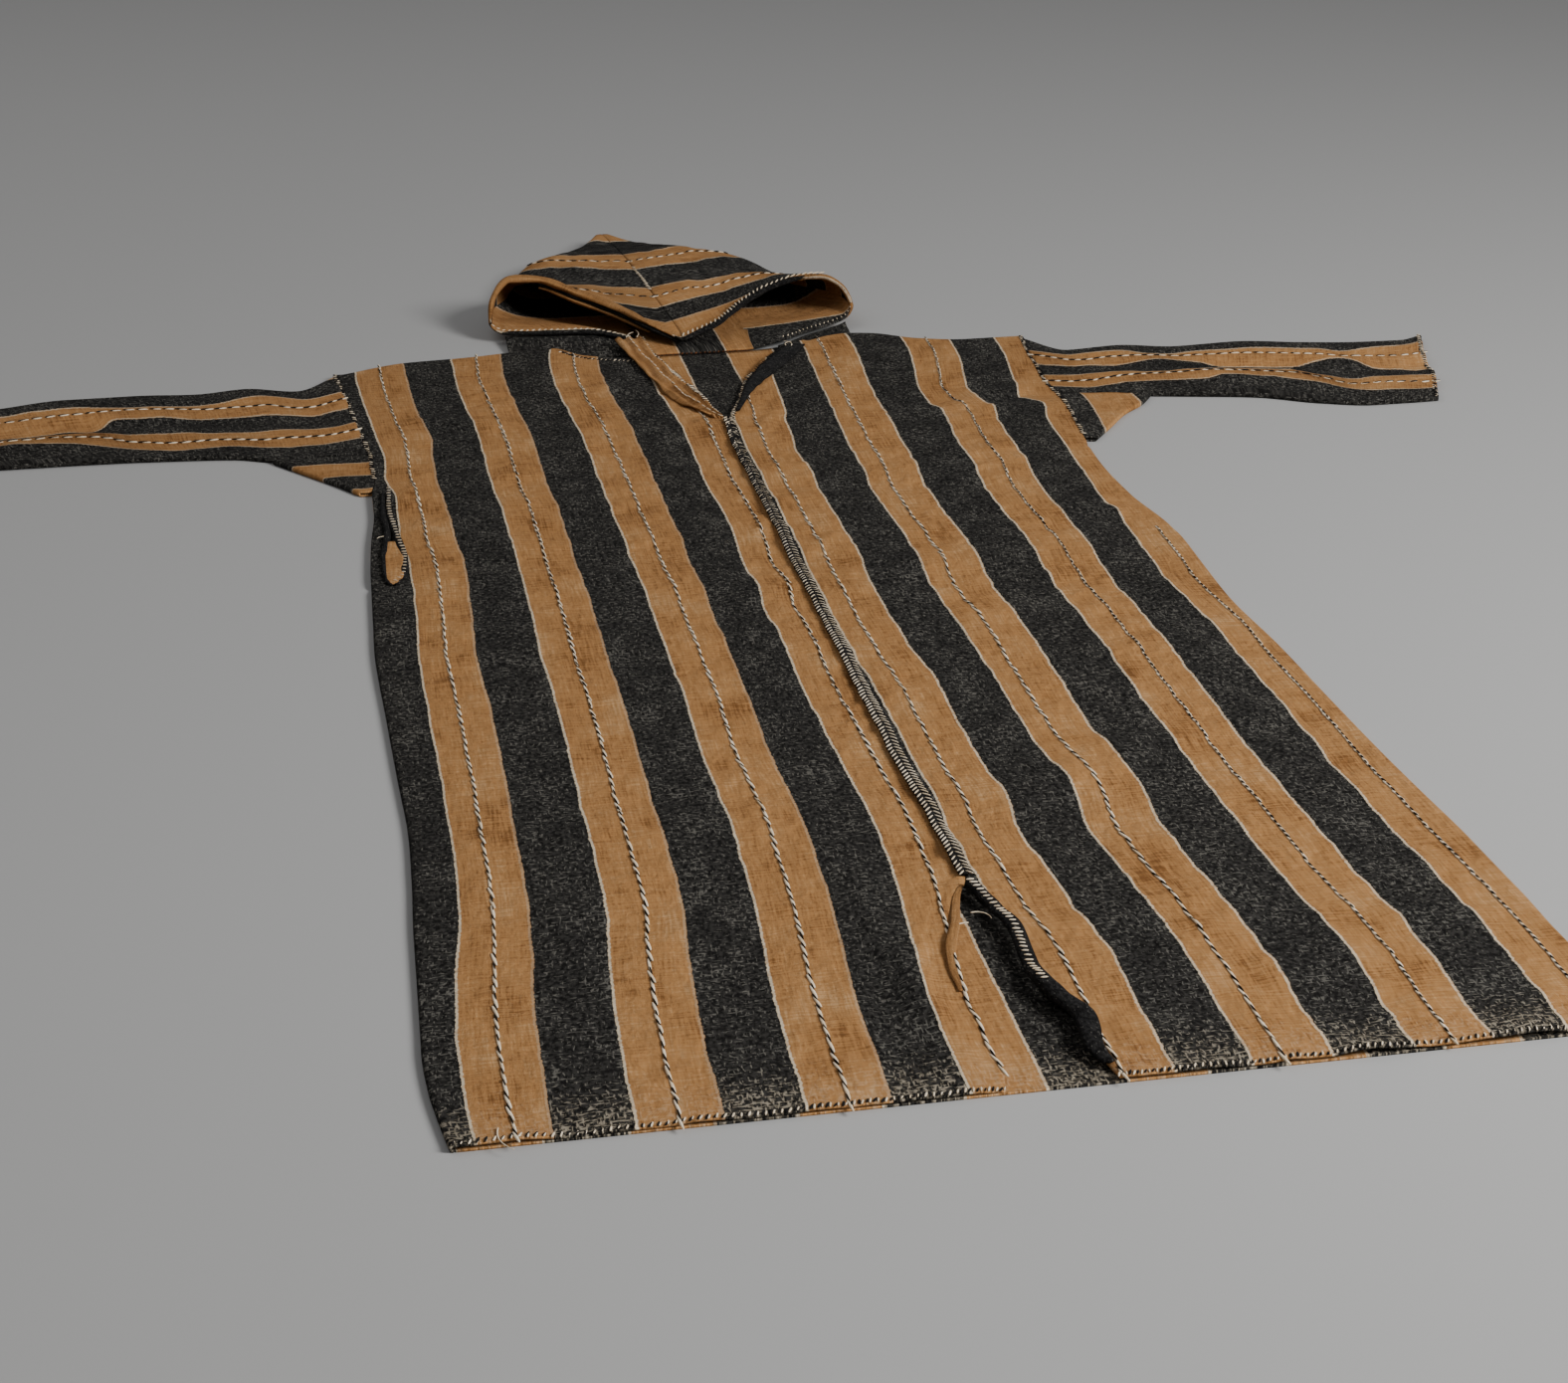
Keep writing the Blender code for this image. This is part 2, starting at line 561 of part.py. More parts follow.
def centre_seam_braid():
    """The whip-stitched ridge that joins the fronts, from the hem slit to the neck opening."""
    rings = []
    for j in range(BRAID_STEPS + 1):
        y = BRAID_START + (BRAID_END - BRAID_START) * j / BRAID_STEPS
        left = between(BODY, "left_front", y) - BRAID_WIDTH / 2
        bottom = front_height(left + BRAID_WIDTH / 2, y) + 2 * SEAM_GAP
        rings.append(flat_ring(left, y, bottom, BRAID_WIDTH, BRAID_HEIGHT))
    return bar_object("centre_seam_braid", rings, BLACK)


def slit_selvedge():
    """The rolled selvedge along the right of the hem slit."""
    rings = []
    for row in ROLL:
        bottom = front_height(row.left, row.y) + 2 * SEAM_GAP
        rings.append(flat_ring(row.left, row.y, bottom, row.width, row.height))
    return bar_object("slit_selvedge", rings, BLACK)


def centre_on_origin(pieces):
    """Shifts every mesh so that the origin is the middle of the whole box, on the surface."""
    points = np.array([vertex.co for piece in pieces for vertex in piece.data.vertices])
    middle = (points.min(0) + points.max(0)) / 2
    for piece in pieces:
        for vertex in piece.data.vertices:
            vertex.co.x -= middle[0]
            vertex.co.y -= middle[1]


def main():
    """Builds the robe."""
    for old in list(bpy.data.objects):
        bpy.data.objects.remove(old)
    pieces = [back_panel()]
    pieces += [front_panel(-1), front_panel(1)]
    pieces += [sleeve(-1, SLEEVE_LEFT), sleeve(1, SLEEVE_RIGHT)]
    pieces += [gusset(-1, GUSSET_LEFT), gusset(1, GUSSET_RIGHT)]
    pieces += [hood_half(-1, MOUTH_LEFT), hood_half(1, MOUTH_RIGHT)]
    pieces += [placket_strip(), neck_band(), centre_seam_braid(), slit_selvedge()]
    centre_on_origin(pieces)


main()
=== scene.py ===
"""The looks of a hooded djellaba robe of striped hand-woven cloth, laid flat with its hood open behind the neck.

Each sub-assembly is a class with its sizes as fields.  Shapes are worked out on the robe's own plan: +X across
the robe, +Y from the hem to the hood, y = 0 at the hem and x = 0 in the middle of the back.  Layout moves a
finished piece from the plan to its place in the frame.  Every piece of cloth is a fine sheet on the form of
its CAD solid, with creases of its own, and carries a "cloth" UV map in metres: across the stripes, and along
them.  Stitches and the two-coloured yarn that runs down each brown stripe are laid by one Geometry Nodes tree.
"""

import logging
import math
from dataclasses import dataclass, field
from enum import Enum
from typing import NamedTuple, Optional, Sequence

import bmesh
import bpy
import numpy as np
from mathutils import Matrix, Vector


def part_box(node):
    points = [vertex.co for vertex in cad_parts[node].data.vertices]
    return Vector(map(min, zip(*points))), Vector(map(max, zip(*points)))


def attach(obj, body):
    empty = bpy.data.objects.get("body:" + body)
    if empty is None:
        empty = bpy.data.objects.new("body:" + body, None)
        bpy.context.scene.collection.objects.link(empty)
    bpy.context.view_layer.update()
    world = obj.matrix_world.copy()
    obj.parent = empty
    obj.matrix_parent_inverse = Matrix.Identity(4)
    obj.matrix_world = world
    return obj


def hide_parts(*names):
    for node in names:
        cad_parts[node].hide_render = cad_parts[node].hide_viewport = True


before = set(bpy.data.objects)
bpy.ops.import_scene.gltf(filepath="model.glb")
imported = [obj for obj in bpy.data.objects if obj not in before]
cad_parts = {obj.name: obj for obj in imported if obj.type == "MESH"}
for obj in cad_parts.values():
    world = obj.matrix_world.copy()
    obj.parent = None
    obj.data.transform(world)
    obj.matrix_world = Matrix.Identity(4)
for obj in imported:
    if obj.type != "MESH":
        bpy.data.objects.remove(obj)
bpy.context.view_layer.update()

log = logging.getLogger("djellaba")
Array = np.ndarray
Piece = bpy.types.Object
Material = bpy.types.Material
Socket = bpy.types.NodeSocket
Guide = tuple[Array, Array]  # a line's points, and the directions away from the cloth

BODY_NAME = "root"

# Cloth and folds, as in the CAD model
CLOTH = 0.0016
SEAM_GAP = 0.0005
ARMHOLE_GAP = 0.0013
FOLD_RADIUS = 0.0025
EDGE_HEIGHT = 2 * FOLD_RADIUS
FOLD_REACH = math.pi * FOLD_RADIUS
FOLD_INSET = FOLD_RADIUS + 3 * SEAM_GAP
BODY_TOP = 1.330

# The striped cloth: one repeat is a brown stripe and a black one
REPEAT = 0.0929
BROWN_WIDTH = 0.0485
LEFT_FIRST_BROWN = -0.3314
RIGHT_FIRST_BROWN = -0.0014
BACK_FIRST_BROWN = 0.0245
STRIPE_MARGIN = 0.004  # black cloth kept clear of the next brown stripe at a sleeve's fold
BACK_LEFT = -0.354  # left edge of the back on the plan, where the frame gives its place


class Slot(Enum):
    """The record's material slots."""

    STRIPED = "striped_cloth"
    DARK = "dark_cloth"
    YARN = "whip_stitch_yarn"


class Side(Enum):
    """The viewer's left and right."""

    LEFT = -1
    RIGHT = 1

    @property
    def word(self) -> str:
        """The side's name in lower case."""
        return self.name.lower()


# --------------------------------------------------------------------------------------------------------------
# Tables of the robe's plan


def rows_of(kind: type, *rows: tuple) -> tuple:
    """Gives rows of plain numbers their names."""
    return tuple(kind(*row) for row in rows)


class BodyRow(NamedTuple):
    """Sides and front edges of the body at a height up the plan, and how tightly each side is folded."""

    y: float
    left: float
    right: float
    left_front: float
    right_front: float
    left_fold: float
    right_fold: float


BODY = rows_of(
    BodyRow,
    (0, -0.35, 0.33, -0.045, 0.02, 1, 1), (0.03, -0.354, 0.33, -0.04, 0.015, 1, 1),
    (0.06, -0.357, 0.33, -0.042, 0.018, 1, 1), (0.09, -0.358, 0.33, -0.043, 0.008, 1, 1),
    (0.12, -0.357, 0.329, -0.0425, 0.005, 1, 1), (0.15, -0.356, 0.329, -0.038, 0.008, 1, 1),
    (0.18, -0.355, 0.328, -0.028, 0.006, 1, 1), (0.21, -0.354, 0.327, -0.02, -0.002, 1, 1),
    (0.24, -0.353, 0.326, -0.0085, -0.008, 1, 1), (0.3, -0.35, 0.322, -0.009, -0.0085, 1, 1),
    (0.37, -0.348, 0.318, -0.0105, -0.01, 1, 1), (0.45, -0.35, 0.315, -0.0125, -0.012, 1, 1),
    (0.55, -0.352, 0.312, -0.0125, -0.012, 1, 1), (0.65, -0.354, 0.306, -0.0125, -0.012, 1, 1),
    (0.72, -0.352, 0.308, -0.0125, -0.012, 1, 1), (0.78, -0.35, 0.31, -0.0125, -0.012, 1, 1),
    (0.795, -0.3495, 0.309, -0.0125, -0.012, 0.05, 1), (0.81, -0.349, 0.308, -0.0125, -0.012, 0, 1),
    (0.88, -0.345, 0.298, -0.0125, -0.012, 0, 1), (0.95, -0.339, 0.295, -0.0125, -0.012, 0, 1),
    (1, -0.338, 0.297, -0.0125, -0.012, 0, 1), (1.015, -0.336, 0.298, -0.0125, -0.012, 0, 0.05),
    (1.03, -0.334, 0.299, -0.0125, -0.012, 0, 0), (1.08, -0.334, 0.304, -0.012, -0.0115, 0, 0),
    (1.13, -0.337, 0.308, -0.0095, -0.0065, 0, 0), (1.18, -0.342, 0.306, -0.02, 0.01, 0, 0),
    (1.23, -0.346, 0.31, -0.029, 0.025, 0, 0), (1.28, -0.351, 0.314, -0.037, 0.048, 0, 0),
    (1.33, -0.356, 0.32, -0.045, 0.078, 0, 0),
)


class TopRow(NamedTuple):
    """Top edge of each front at a share of the way from the neck to the armhole, and its fold."""

    share: float
    left: float
    right: float
    left_fold: float
    right_fold: float


FRONT_TOP = rows_of(
    TopRow,
    (0, 1.318, 1.345, 0, 0), (0.12, 1.333, 1.358, 0, 0), (0.24, 1.35, 1.37, 0, 1), (0.32, 1.376, 1.374, 0, 1),
    (0.42, 1.374, 1.37, 1, 1), (0.6, 1.364, 1.345, 1, 1), (0.8, 1.358, 1.333, 1, 1), (1, 1.333, 1.333, 1, 1),
)


class BackTopRow(NamedTuple):
    """Top edge of the back: shoulders and back neck."""

    x: float
    y: float


BACK_TOP = rows_of(
    BackTopRow,
    (-0.35, 1.327), (-0.287, 1.352), (-0.15, 1.368), (-0.095, 1.356), (-0.05, 1.343), (0.05, 1.343),
    (0.095, 1.352), (0.15, 1.364), (0.178, 1.361), (0.215, 1.337), (0.262, 1.327), (0.32, 1.327),
)


class Crease(NamedTuple):
    """A soft ridge (or trough, where the height is negative): place, half-lengths, turn from +Y, height."""

    x: float
    y: float
    along: float
    across: float
    turn: float
    height: float


FRONT_CREASES = rows_of(
    Crease,
    # the large swellings that the CAD model has too
    (0.262, 1.165, 0.06, 0.014, -62, 0.005), (0.215, 1.01, 0.075, 0.022, -70, 0.0036),
    (0.25, 0.865, 0.07, 0.024, -75, 0.0034), (0.115, 0.385, 0.08, 0.028, -60, 0.003),
    (-0.262, 1.17, 0.065, 0.02, 70, 0.0036), (-0.265, 0.875, 0.06, 0.024, 72, 0.003),
    (-0.13, 0.64, 0.12, 0.03, 80, 0.0026), (-0.072, 0.13, 0.11, 0.012, 4, 0.0042),
    (0.12, 0.76, 0.11, 0.028, -78, 0.0026), (-0.18, 0.33, 0.13, 0.034, 76, 0.0026),
    (0.205, 0.56, 0.11, 0.032, -80, 0.0024), (0.18, 1.3, 0.05, 0.014, -20, 0.003),
    # sharper creases beside them
    (0.268, 1.148, 0.05, 0.006, -64, -0.0024), (0.225, 0.995, 0.045, 0.007, -68, -0.0016),
    (0.262, 0.855, 0.04, 0.006, -76, -0.0018), (0.12, 0.352, 0.045, 0.008, -66, -0.0014),
    (-0.275, 1.155, 0.04, 0.007, 66, -0.0016), (-0.285, 0.895, 0.035, 0.006, 62, 0.002),
    (-0.27, 0.855, 0.04, 0.007, 70, -0.0014), (-0.14, 1.18, 0.03, 0.005, 14, 0.0014),
    (-0.122, 0.84, 0.04, 0.007, 30, 0.0012), (0.018, 0.815, 0.026, 0.006, -42, 0.002),
    (0.012, 0.53, 0.05, 0.007, 3, 0.0018), (-0.04, 0.685, 0.035, 0.006, 24, 0.0018),
    (-0.03, 0.85, 0.03, 0.006, -30, 0.0014), (0.032, 1.13, 0.04, 0.007, -25, 0.0018),
    (-0.034, 1.14, 0.04, 0.007, 20, 0.0016), (-0.055, 0.16, 0.05, 0.006, -14, 0.0022),
    (-0.092, 0.1, 0.06, 0.005, -5, -0.0018), (-0.08, 0.12, 0.06, 0.004, -9, -0.0016),
    (-0.024, 0.215, 0.03, 0.004, -24, 0.0018), (0.03, 0.235, 0.035, 0.008, 35, 0.0016),
    (0.055, 0.155, 0.03, 0.007, 28, -0.0014), (0.225, 0.15, 0.045, 0.01, 60, 0.0018),
    (0.15, 0.255, 0.06, 0.011, 70, 0.0014), (-0.205, 0.275, 0.05, 0.011, -70, 0.0014),
    (-0.3, 0.42, 0.05, 0.012, 80, 0.0012), (0.205, 1.27, 0.05, 0.006, -8, -0.0016),
    (0.232, 1.29, 0.045, 0.006, -10, 0.0018), (-0.235, 1.29, 0.05, 0.01, 15, 0.0014),
    (-0.11, 1.26, 0.06, 0.009, 10, 0.0014), (0.125, 1.24, 0.07, 0.012, -12, 0.0014),
    (-0.305, 1, 0.05, 0.01, -20, 0.0018), (0.283, 0.69, 0.06, 0.009, 8, -0.0016),
    (0.04, 0.575, 0.03, 0.006, 50, 0.0014),
)
CREASE_FADE = 0.035  # creases die out this near an edge


class SwayRow(NamedTuple):
    """How far the stripes have drifted sideways at a height up the plan, at five places across it, in mm."""

    y: float
    far_left: float
    left: float
    middle: float
    right: float
    far_right: float


# Left front: x of the five columns
LEFT_SWAY_PLACES = (-0.3314, -0.2827, -0.2141, -0.1207, -0.0521)
LEFT_SWAY = rows_of(
    SwayRow,
    (-0.01, -4, -12, -11, -11, -12), (0.041, -7, -11, -10.5, -10, -15), (0.09, -7, -9, -9, -9, -15),
    (0.14, -4, -7, -6, -6, -10), (0.19, 0, -2, -2, -2, -5), (0.24, 6, 1, 3.5, 1, 0), (0.29, 9, 3, 4, 2.5, 2),
    (0.34, 10, 3, 4, 4, 3), (0.44, 10, 5, 5.5, 2, 0), (0.54, 9, 5, 6.5, 4.7, -2), (0.637, 9, 3, 5, 4, -1),
    (0.686, 11, 5, 6, 4, -3), (0.736, 13.5, 7, 6, 5, 0.5), (0.786, 14.5, 9, 5.5, 3.5, -3),
    (0.835, 14.5, 10, 5, 3.2, 0), (0.885, 10, 6, 5, 2.5, 1), (0.935, 12, 6, 5, 2, -0.5),
    (0.984, 13, 4, 2, 1, -2.5), (1.034, 6, 2, 1.5, 1, -1), (1.083, 8.5, 3, 1.5, 0, -0.5),
    (1.133, 4.5, 5, 0.5, -1, -0.5), (1.183, 1, -1, -2.5, -4, -4), (1.232, -2, -4, -5, -7, -7),
    (1.282, -5, -5, -7.5, -7.5, -8), (1.332, -6, -6, -5.5, -5, -7), (1.382, -6, -8, -3, 2, -7),
)

# Right front: x of the five columns
RIGHT_SWAY_PLACES = (-0.0024, 0.0473, 0.1159, 0.2093, 0.2779)
RIGHT_SWAY = rows_of(
    SwayRow,
    (-0.01, 3, 6, 5, 8, 7), (0.041, 3, 6, 5, 7, 8), (0.09, 5, 7, 6, 10, 9), (0.14, 5, 9, 5, 9, 8),
    (0.19, 2, 2, 2, 4, 6), (0.24, 0, 0, -3, 1, 3), (0.29, -2, -5, -5, 0, 1), (0.348, 0, 0, 1, -2, -1),
    (0.388, -1, -3, -3, -3, -1), (0.438, -1.5, -4, -7, -2.5, -1), (0.54, -2.5, -2, -7, -3, -4),
    (0.587, -4.5, -7.5, -6, -2.5, -3), (0.637, -5, -8.5, -6.5, -3, -7), (0.686, -4.5, -9.5, -9.5, -5.5, -11),
    (0.736, -5, -10, -9, -5, -8), (0.786, -4, -6, -6, -3, -7), (0.845, -3, -6.5, -7.5, -4.5, -4),
    (0.862, -3, -7, -9, -6, -10), (0.935, -3, -9, -9.5, -4, -5), (0.984, -3.5, -5.5, -6, 1, -3),
    (1, -3.5, -7, -5, -2, -2), (1.034, -4, -9, -4.5, -0.5, -1), (1.083, -3, -4.5, -3.5, 4, 2),
    (1.126, -2, -2, -1.5, 6, 10), (1.146, 0, 2, -1, -1, -7), (1.183, 2, 4, 0.5, -1.5, -1),
    (1.232, 5, 8, 3, 6, 6), (1.282, 8, 11, 6, 14, 13), (1.332, 11, 14, 9.5, 18, 16),
)


class SleeveRow(NamedTuple):
    """A sleeve's near edge, far edge and highest point at a reach from the armhole."""

    reach: float
    low: float
    high: float
    crest: float


SLEEVE_LEFT = rows_of(
    SleeveRow,
    (0, 1.101, 1.327, 0.007), (0.035, 1.1012, 1.29, 0.009), (0.075, 1.102, 1.306, 0.011),
    (0.115, 1.117, 1.298, 0.011), (0.165, 1.123, 1.304, 0.012), (0.22, 1.127, 1.304, 0.011),
    (0.275, 1.128, 1.288, 0.012), (0.32, 1.128, 1.276, 0.011), (0.345, 1.127, 1.27, 0.01),
)
SLEEVE_RIGHT = rows_of(
    SleeveRow,
    (0, 1.156, 1.326, 0.007), (0.035, 1.148, 1.28, 0.009), (0.08, 1.1385, 1.286, 0.011),
    (0.13, 1.128, 1.272, 0.012), (0.185, 1.115, 1.276, 0.011), (0.24, 1.088, 1.262, 0.012),
    (0.29, 1.074, 1.252, 0.012), (0.33, 1.074, 1.25, 0.011), (0.352, 1.075, 1.262, 0.01),
)
CUFF_SLANT = 0.050


class SleeveFold(NamedTuple):
    """A lengthwise fold of a sleeve's upper layer: place across it, half-width, share of the crest."""

    place: float
    width: float
    share: float


SLEEVE_FOLDS = (SleeveFold(0.30, 0.11, 0.75), SleeveFold(0.62, 0.10, 1.00), SleeveFold(0.86, 0.07, 0.60))


class BandRow(NamedTuple):
    """Where a sleeve's stripes change, as shares of the way across it from its far edge to its near one.

    The first is black to brown, then brown to black, black to brown, and brown to black.  Where the second and
    third meet, a fold has swallowed the black stripe.
    """

    reach: float
    first: float
    second: float
    third: float
    fourth: float


BANDS_LEFT = rows_of(
    BandRow,
    (0, 0.22, 0.44, 0.64, 0.82), (0.06, 0.14, 0.46, 0.68, 0.86), (0.12, 0.22, 0.48, 0.72, 0.88),
    (0.16, 0.22, 0.45, 0.72, 0.92), (0.195, 0.2, 0.45, 0.7, 0.88), (0.222, 0.17, 0.6, 0.62, 0.82),
    (0.26, 0.17, 0.6, 0.61, 0.75), (0.345, 0.14, 0.6, 0.61, 0.7),
)
BANDS_RIGHT = rows_of(
    BandRow,
    (0, 0.26, 0.5, 0.74, 0.92), (0.035, 0.16, 0.46, 0.68, 0.9), (0.07, 0.16, 0.5, 0.66, 0.82),
    (0.11, 0.22, 0.42, 0.6, 0.8), (0.145, 0.18, 0.46, 0.53, 0.78), (0.165, 0.18, 0.52, 0.53, 0.72),
    (0.225, 0.16, 0.52, 0.53, 0.76), (0.245, 0.16, 0.46, 0.66, 0.78), (0.272, 0.18, 0.4, 0.72, 0.84),
    (0.3, 0.14, 0.52, 0.68, 0.86), (0.352, 0.1, 0.62, 0.72, 0.86),
)


class GussetRow(NamedTuple):
    """An underarm gusset at one height: y at the armhole, and its folded outer edge."""

    armhole_y: float
    fold_x: float
    fold_y: float


GUSSET_LEFT = rows_of(
    GussetRow,
    (1.006, -0.349, 1.005), (1.03, -0.366, 1.03), (1.055, -0.386, 1.056), (1.078, -0.403, 1.078),
    (1.0995, -0.42, 1.1),
)
GUSSET_RIGHT = rows_of(
    GussetRow,
    (1.028, 0.311, 1.026), (1.06, 0.333, 1.056), (1.095, 0.358, 1.091), (1.125, 0.382, 1.115),
    (1.153, 0.396, 1.136),
)


class MouthRow(NamedTuple):
    """A point of the hood's free edge, and how far across the hood its line of cloth runs.

    The share rises from the back seam to 1 at the side, and falls again over the upper layer to the top seam.
    """

    x: float
    y: float
    z: float
    across: float


MOUTH_LEFT = rows_of(
    MouthRow,
    (-0.0003, 1.344, 0.0021, 0), (-0.045, 1.344, 0.0021, 0.4), (-0.066, 1.378, 0.008, 0.62),
    (-0.105, 1.405, 0.01, 0.8), (-0.15, 1.408, 0.0105, 0.92), (-0.185, 1.412, 0.011, 0.98),
    (-0.1985, 1.42, 0.019, 1), (-0.195, 1.435, 0.036, 0.99), (-0.175, 1.456, 0.053, 0.92),
    (-0.145, 1.462, 0.05, 0.8), (-0.108, 1.444, 0.039, 0.6), (-0.075, 1.422, 0.03, 0.4),
    (-0.043, 1.386, 0.021, 0.2), (-0.0149, 1.356, 0.013, 0),
)
MOUTH_RIGHT = rows_of(
    MouthRow,
    (0.0003, 1.344, 0.0021, 0), (0.045, 1.344, 0.0021, 0.4), (0.085, 1.352, 0.0075, 0.66),
    (0.112, 1.372, 0.008, 0.8), (0.137, 1.388, 0.0085, 0.92), (0.157, 1.4, 0.011, 0.98),
    (0.166, 1.412, 0.021, 1), (0.161, 1.424, 0.034, 0.99), (0.14, 1.436, 0.045, 0.92),
    (0.112, 1.442, 0.042, 0.8), (0.083, 1.436, 0.035, 0.6), (0.053, 1.415, 0.027, 0.4),
    (0.022, 1.378, 0.0195, 0.2), (-0.0143, 1.356, 0.013, 0),
)


class HoodRow(NamedTuple):
    """The hood behind its mouth: centre seam, sides and the height of the upper layer."""

    y: float
    centre: float
    left: float
    right: float
    crest: float


HOOD = rows_of(
    HoodRow,
    (1.345, -0.012, -0.175, 0.14, 0.026), (1.42, -0.03, -0.2, 0.162, 0.032), (1.47, -0.033, -0.19, 0.15, 0.034),
    (1.51, -0.034, -0.177, 0.128, 0.032), (1.55, -0.036, -0.167, 0.114, 0.03),
    (1.6, -0.038, -0.154, 0.098, 0.028), (1.64, -0.04, -0.136, 0.076, 0.025),
    (1.665, -0.041, -0.107, 0.036, 0.023), (1.69, -0.043, -0.082, 0.001, 0.021),
    (1.715, -0.044, -0.068, -0.019, 0.019), (1.745, -0.046, -0.056, -0.034, 0.016),
)


class LipRow(NamedTuple):
    """A rolled piece of the hood's mouth: its half, the rows of that half's table it follows, and its sizes."""

    name: str
    half: int
    first: int
    last: int
    dark: bool
    width: float
    seed: int
    drop: float


LIPS = rows_of(
    LipRow,
    ("lip_roll_left", 0, 6, 12, False, 0.0125, 81, 0.0), ("lip_fold_left", 0, 9, 12, False, 0.0080, 85, 0.0090),
    ("lip_dark_lower", 0, 1, 6, True, 0.0075, 86, 0.0), ("lip_dark_left", 0, 9, 13, True, 0.0085, 82, 0.0050),
    ("lip_roll_right", 1, 5, 9, False, 0.0085, 83, 0.0), ("lip_dark_right", 1, 8, 13, True, 0.0095, 84, 0.0),
)


class StripRow(NamedTuple):
    """The facing strip left of the neck opening: its edge beside the opening, and its lift."""

    y: float
    edge: float
    lift: float


STRIP = rows_of(
    StripRow,
    (1.136, -0.012, 0), (1.165, -0.0175, 0), (1.2, -0.024, 0), (1.24, -0.031, 0), (1.28, -0.038, 0),
    (1.315, -0.044, 0.0005), (1.345, -0.05, 0.003), (1.371, -0.054, 0.005),
)


class NeckRow(NamedTuple):
    """The dark band right of the neck opening: its edge beside the opening, and its share of full width."""

    y: float
    edge: float
    width: float


NECK_BAND = rows_of(
    NeckRow,
    (1.15, 0.002, 0.2), (1.19, 0.014, 0.35), (1.23, 0.026, 0.65), (1.27, 0.044, 0.95), (1.305, 0.064, 1),
    (1.338, 0.084, 0.9),
)


class RollRow(NamedTuple):
    """The rolled selvedge on the right of the hem slit: left side, width and height of the roll."""

    y: float
    left: float
    width: float
    height: float


ROLL = rows_of(
    RollRow,
    (0.012, 0.012, 0.01, 0.004), (0.03, 0.006, 0.015, 0.007), (0.055, 0.008, 0.018, 0.009),
    (0.08, 0.001, 0.016, 0.009), (0.105, -0.004, 0.014, 0.008), (0.13, -0.004, 0.013, 0.007),
    (0.16, -0.002, 0.013, 0.007), (0.19, -0.006, 0.012, 0.006), (0.225, -0.013, 0.01, 0.005),
)


# --------------------------------------------------------------------------------------------------------------
# Reading tables and shaping points


def straight(rows: Sequence[NamedTuple], column: str, place: Array, key: str = "y") -> Array:
    """Reads a table's column in straight lines between its rows; otherwise like curved."""
    return np.interp(place, [getattr(row, key) for row in rows], [getattr(row, column) for row in rows])


def curved(rows: Sequence[NamedTuple], column: str, place: Array, key: str = "y") -> Array:
    """Reads a table's column along a smooth curve through its rows.

    Args:
        rows: The table.
        column: Name of the column to read.
        place: Where to read it.
        key: Name of the column that holds the places.

    Returns:
        The values at the places.
    """
    places = np.array([getattr(row, key) for row in rows], float)
    values = np.array([getattr(row, column) for row in rows], float)
    return through(places, values, np.asarray(place, float))


def by_number(rows: Sequence[NamedTuple], step: Array, *columns: str) -> list[Array]:
    """Reads columns along a smooth curve, at steps counted in rows."""
    marks = np.arange(len(rows), dtype=float)
    return [through(marks, np.array([getattr(row, column) for row in rows], float), step) for column in columns]


def through(places: Array, values: Array, at: Array) -> Array:
    """A smooth curve through values that doesn't overshoot them.

    Args:
        places: Rising places of the values.
        values: The values, one for each place.
        at: Where the curve is read; outside the places it keeps its end values.

    Returns:
        The curve's values.
    """
    steps = np.diff(places)
    slopes = np.diff(values) / steps
    same_way = slopes[:-1] * slopes[1:] > 0
    inner = np.where(same_way, 2 * slopes[:-1] * slopes[1:] / np.where(same_way, slopes[:-1] + slopes[1:], 1), 0)
    tangents = np.concatenate([[slopes[0]], inner, [slopes[-1]]])
    at = np.clip(at, places[0], places[-1])
    k = np.clip(np.searchsorted(places, at, side="right") - 1, 0, len(steps) - 1)
    t = (at - places[k]) / steps[k]
    rise = values[k + 1] - values[k]
    bend_in = tangents[k] * steps[k] - rise
    bend_out = rise - tangents[k + 1] * steps[k]
    return values[k] + t * rise + t * (1 - t) * ((1 - t) * bend_in + t * bend_out)


def grid(*parts: Array) -> Array:
    """Joins coordinates, spread to a common shape, into points."""
    return np.stack(np.broadcast_arrays(*parts), -1)


def ring(sides: int) -> Array:
    """Angles of the sides of a round bar, as one row."""
    return (2 * math.pi * np.arange(sides) / sides)[None, :]


def tube_faces(rings: int, sides: int) -> list[list[int]]:
    """Faces of a closed bar made of rings of points, with a cap at each end."""
    faces = [
        [i * sides + j, (i + 1) * sides + j, (i + 1) * sides + (j + 1) % sides, i * sides + (j + 1) % sides]
        for i in range(rings - 1) for j in range(sides)
    ]
    return faces + [list(range(sides)), [(rings - 1) * sides + j for j in reversed(range(sides))]]


def smooth_step(low: float, high: float, value: Array) -> Array:
    """0 below low, 1 above high, and a soft step between."""
    share = np.clip((np.asarray(value, float) - low) / (high - low), 0.0, 1.0)
    return share * share * (3 - 2 * share)


def bump(place: Array, middle: float, half_width: float) -> Array:
    """A soft hump of height 1 round a middle."""
    return np.exp(-(((np.asarray(place, float) - middle) / half_width) ** 2))


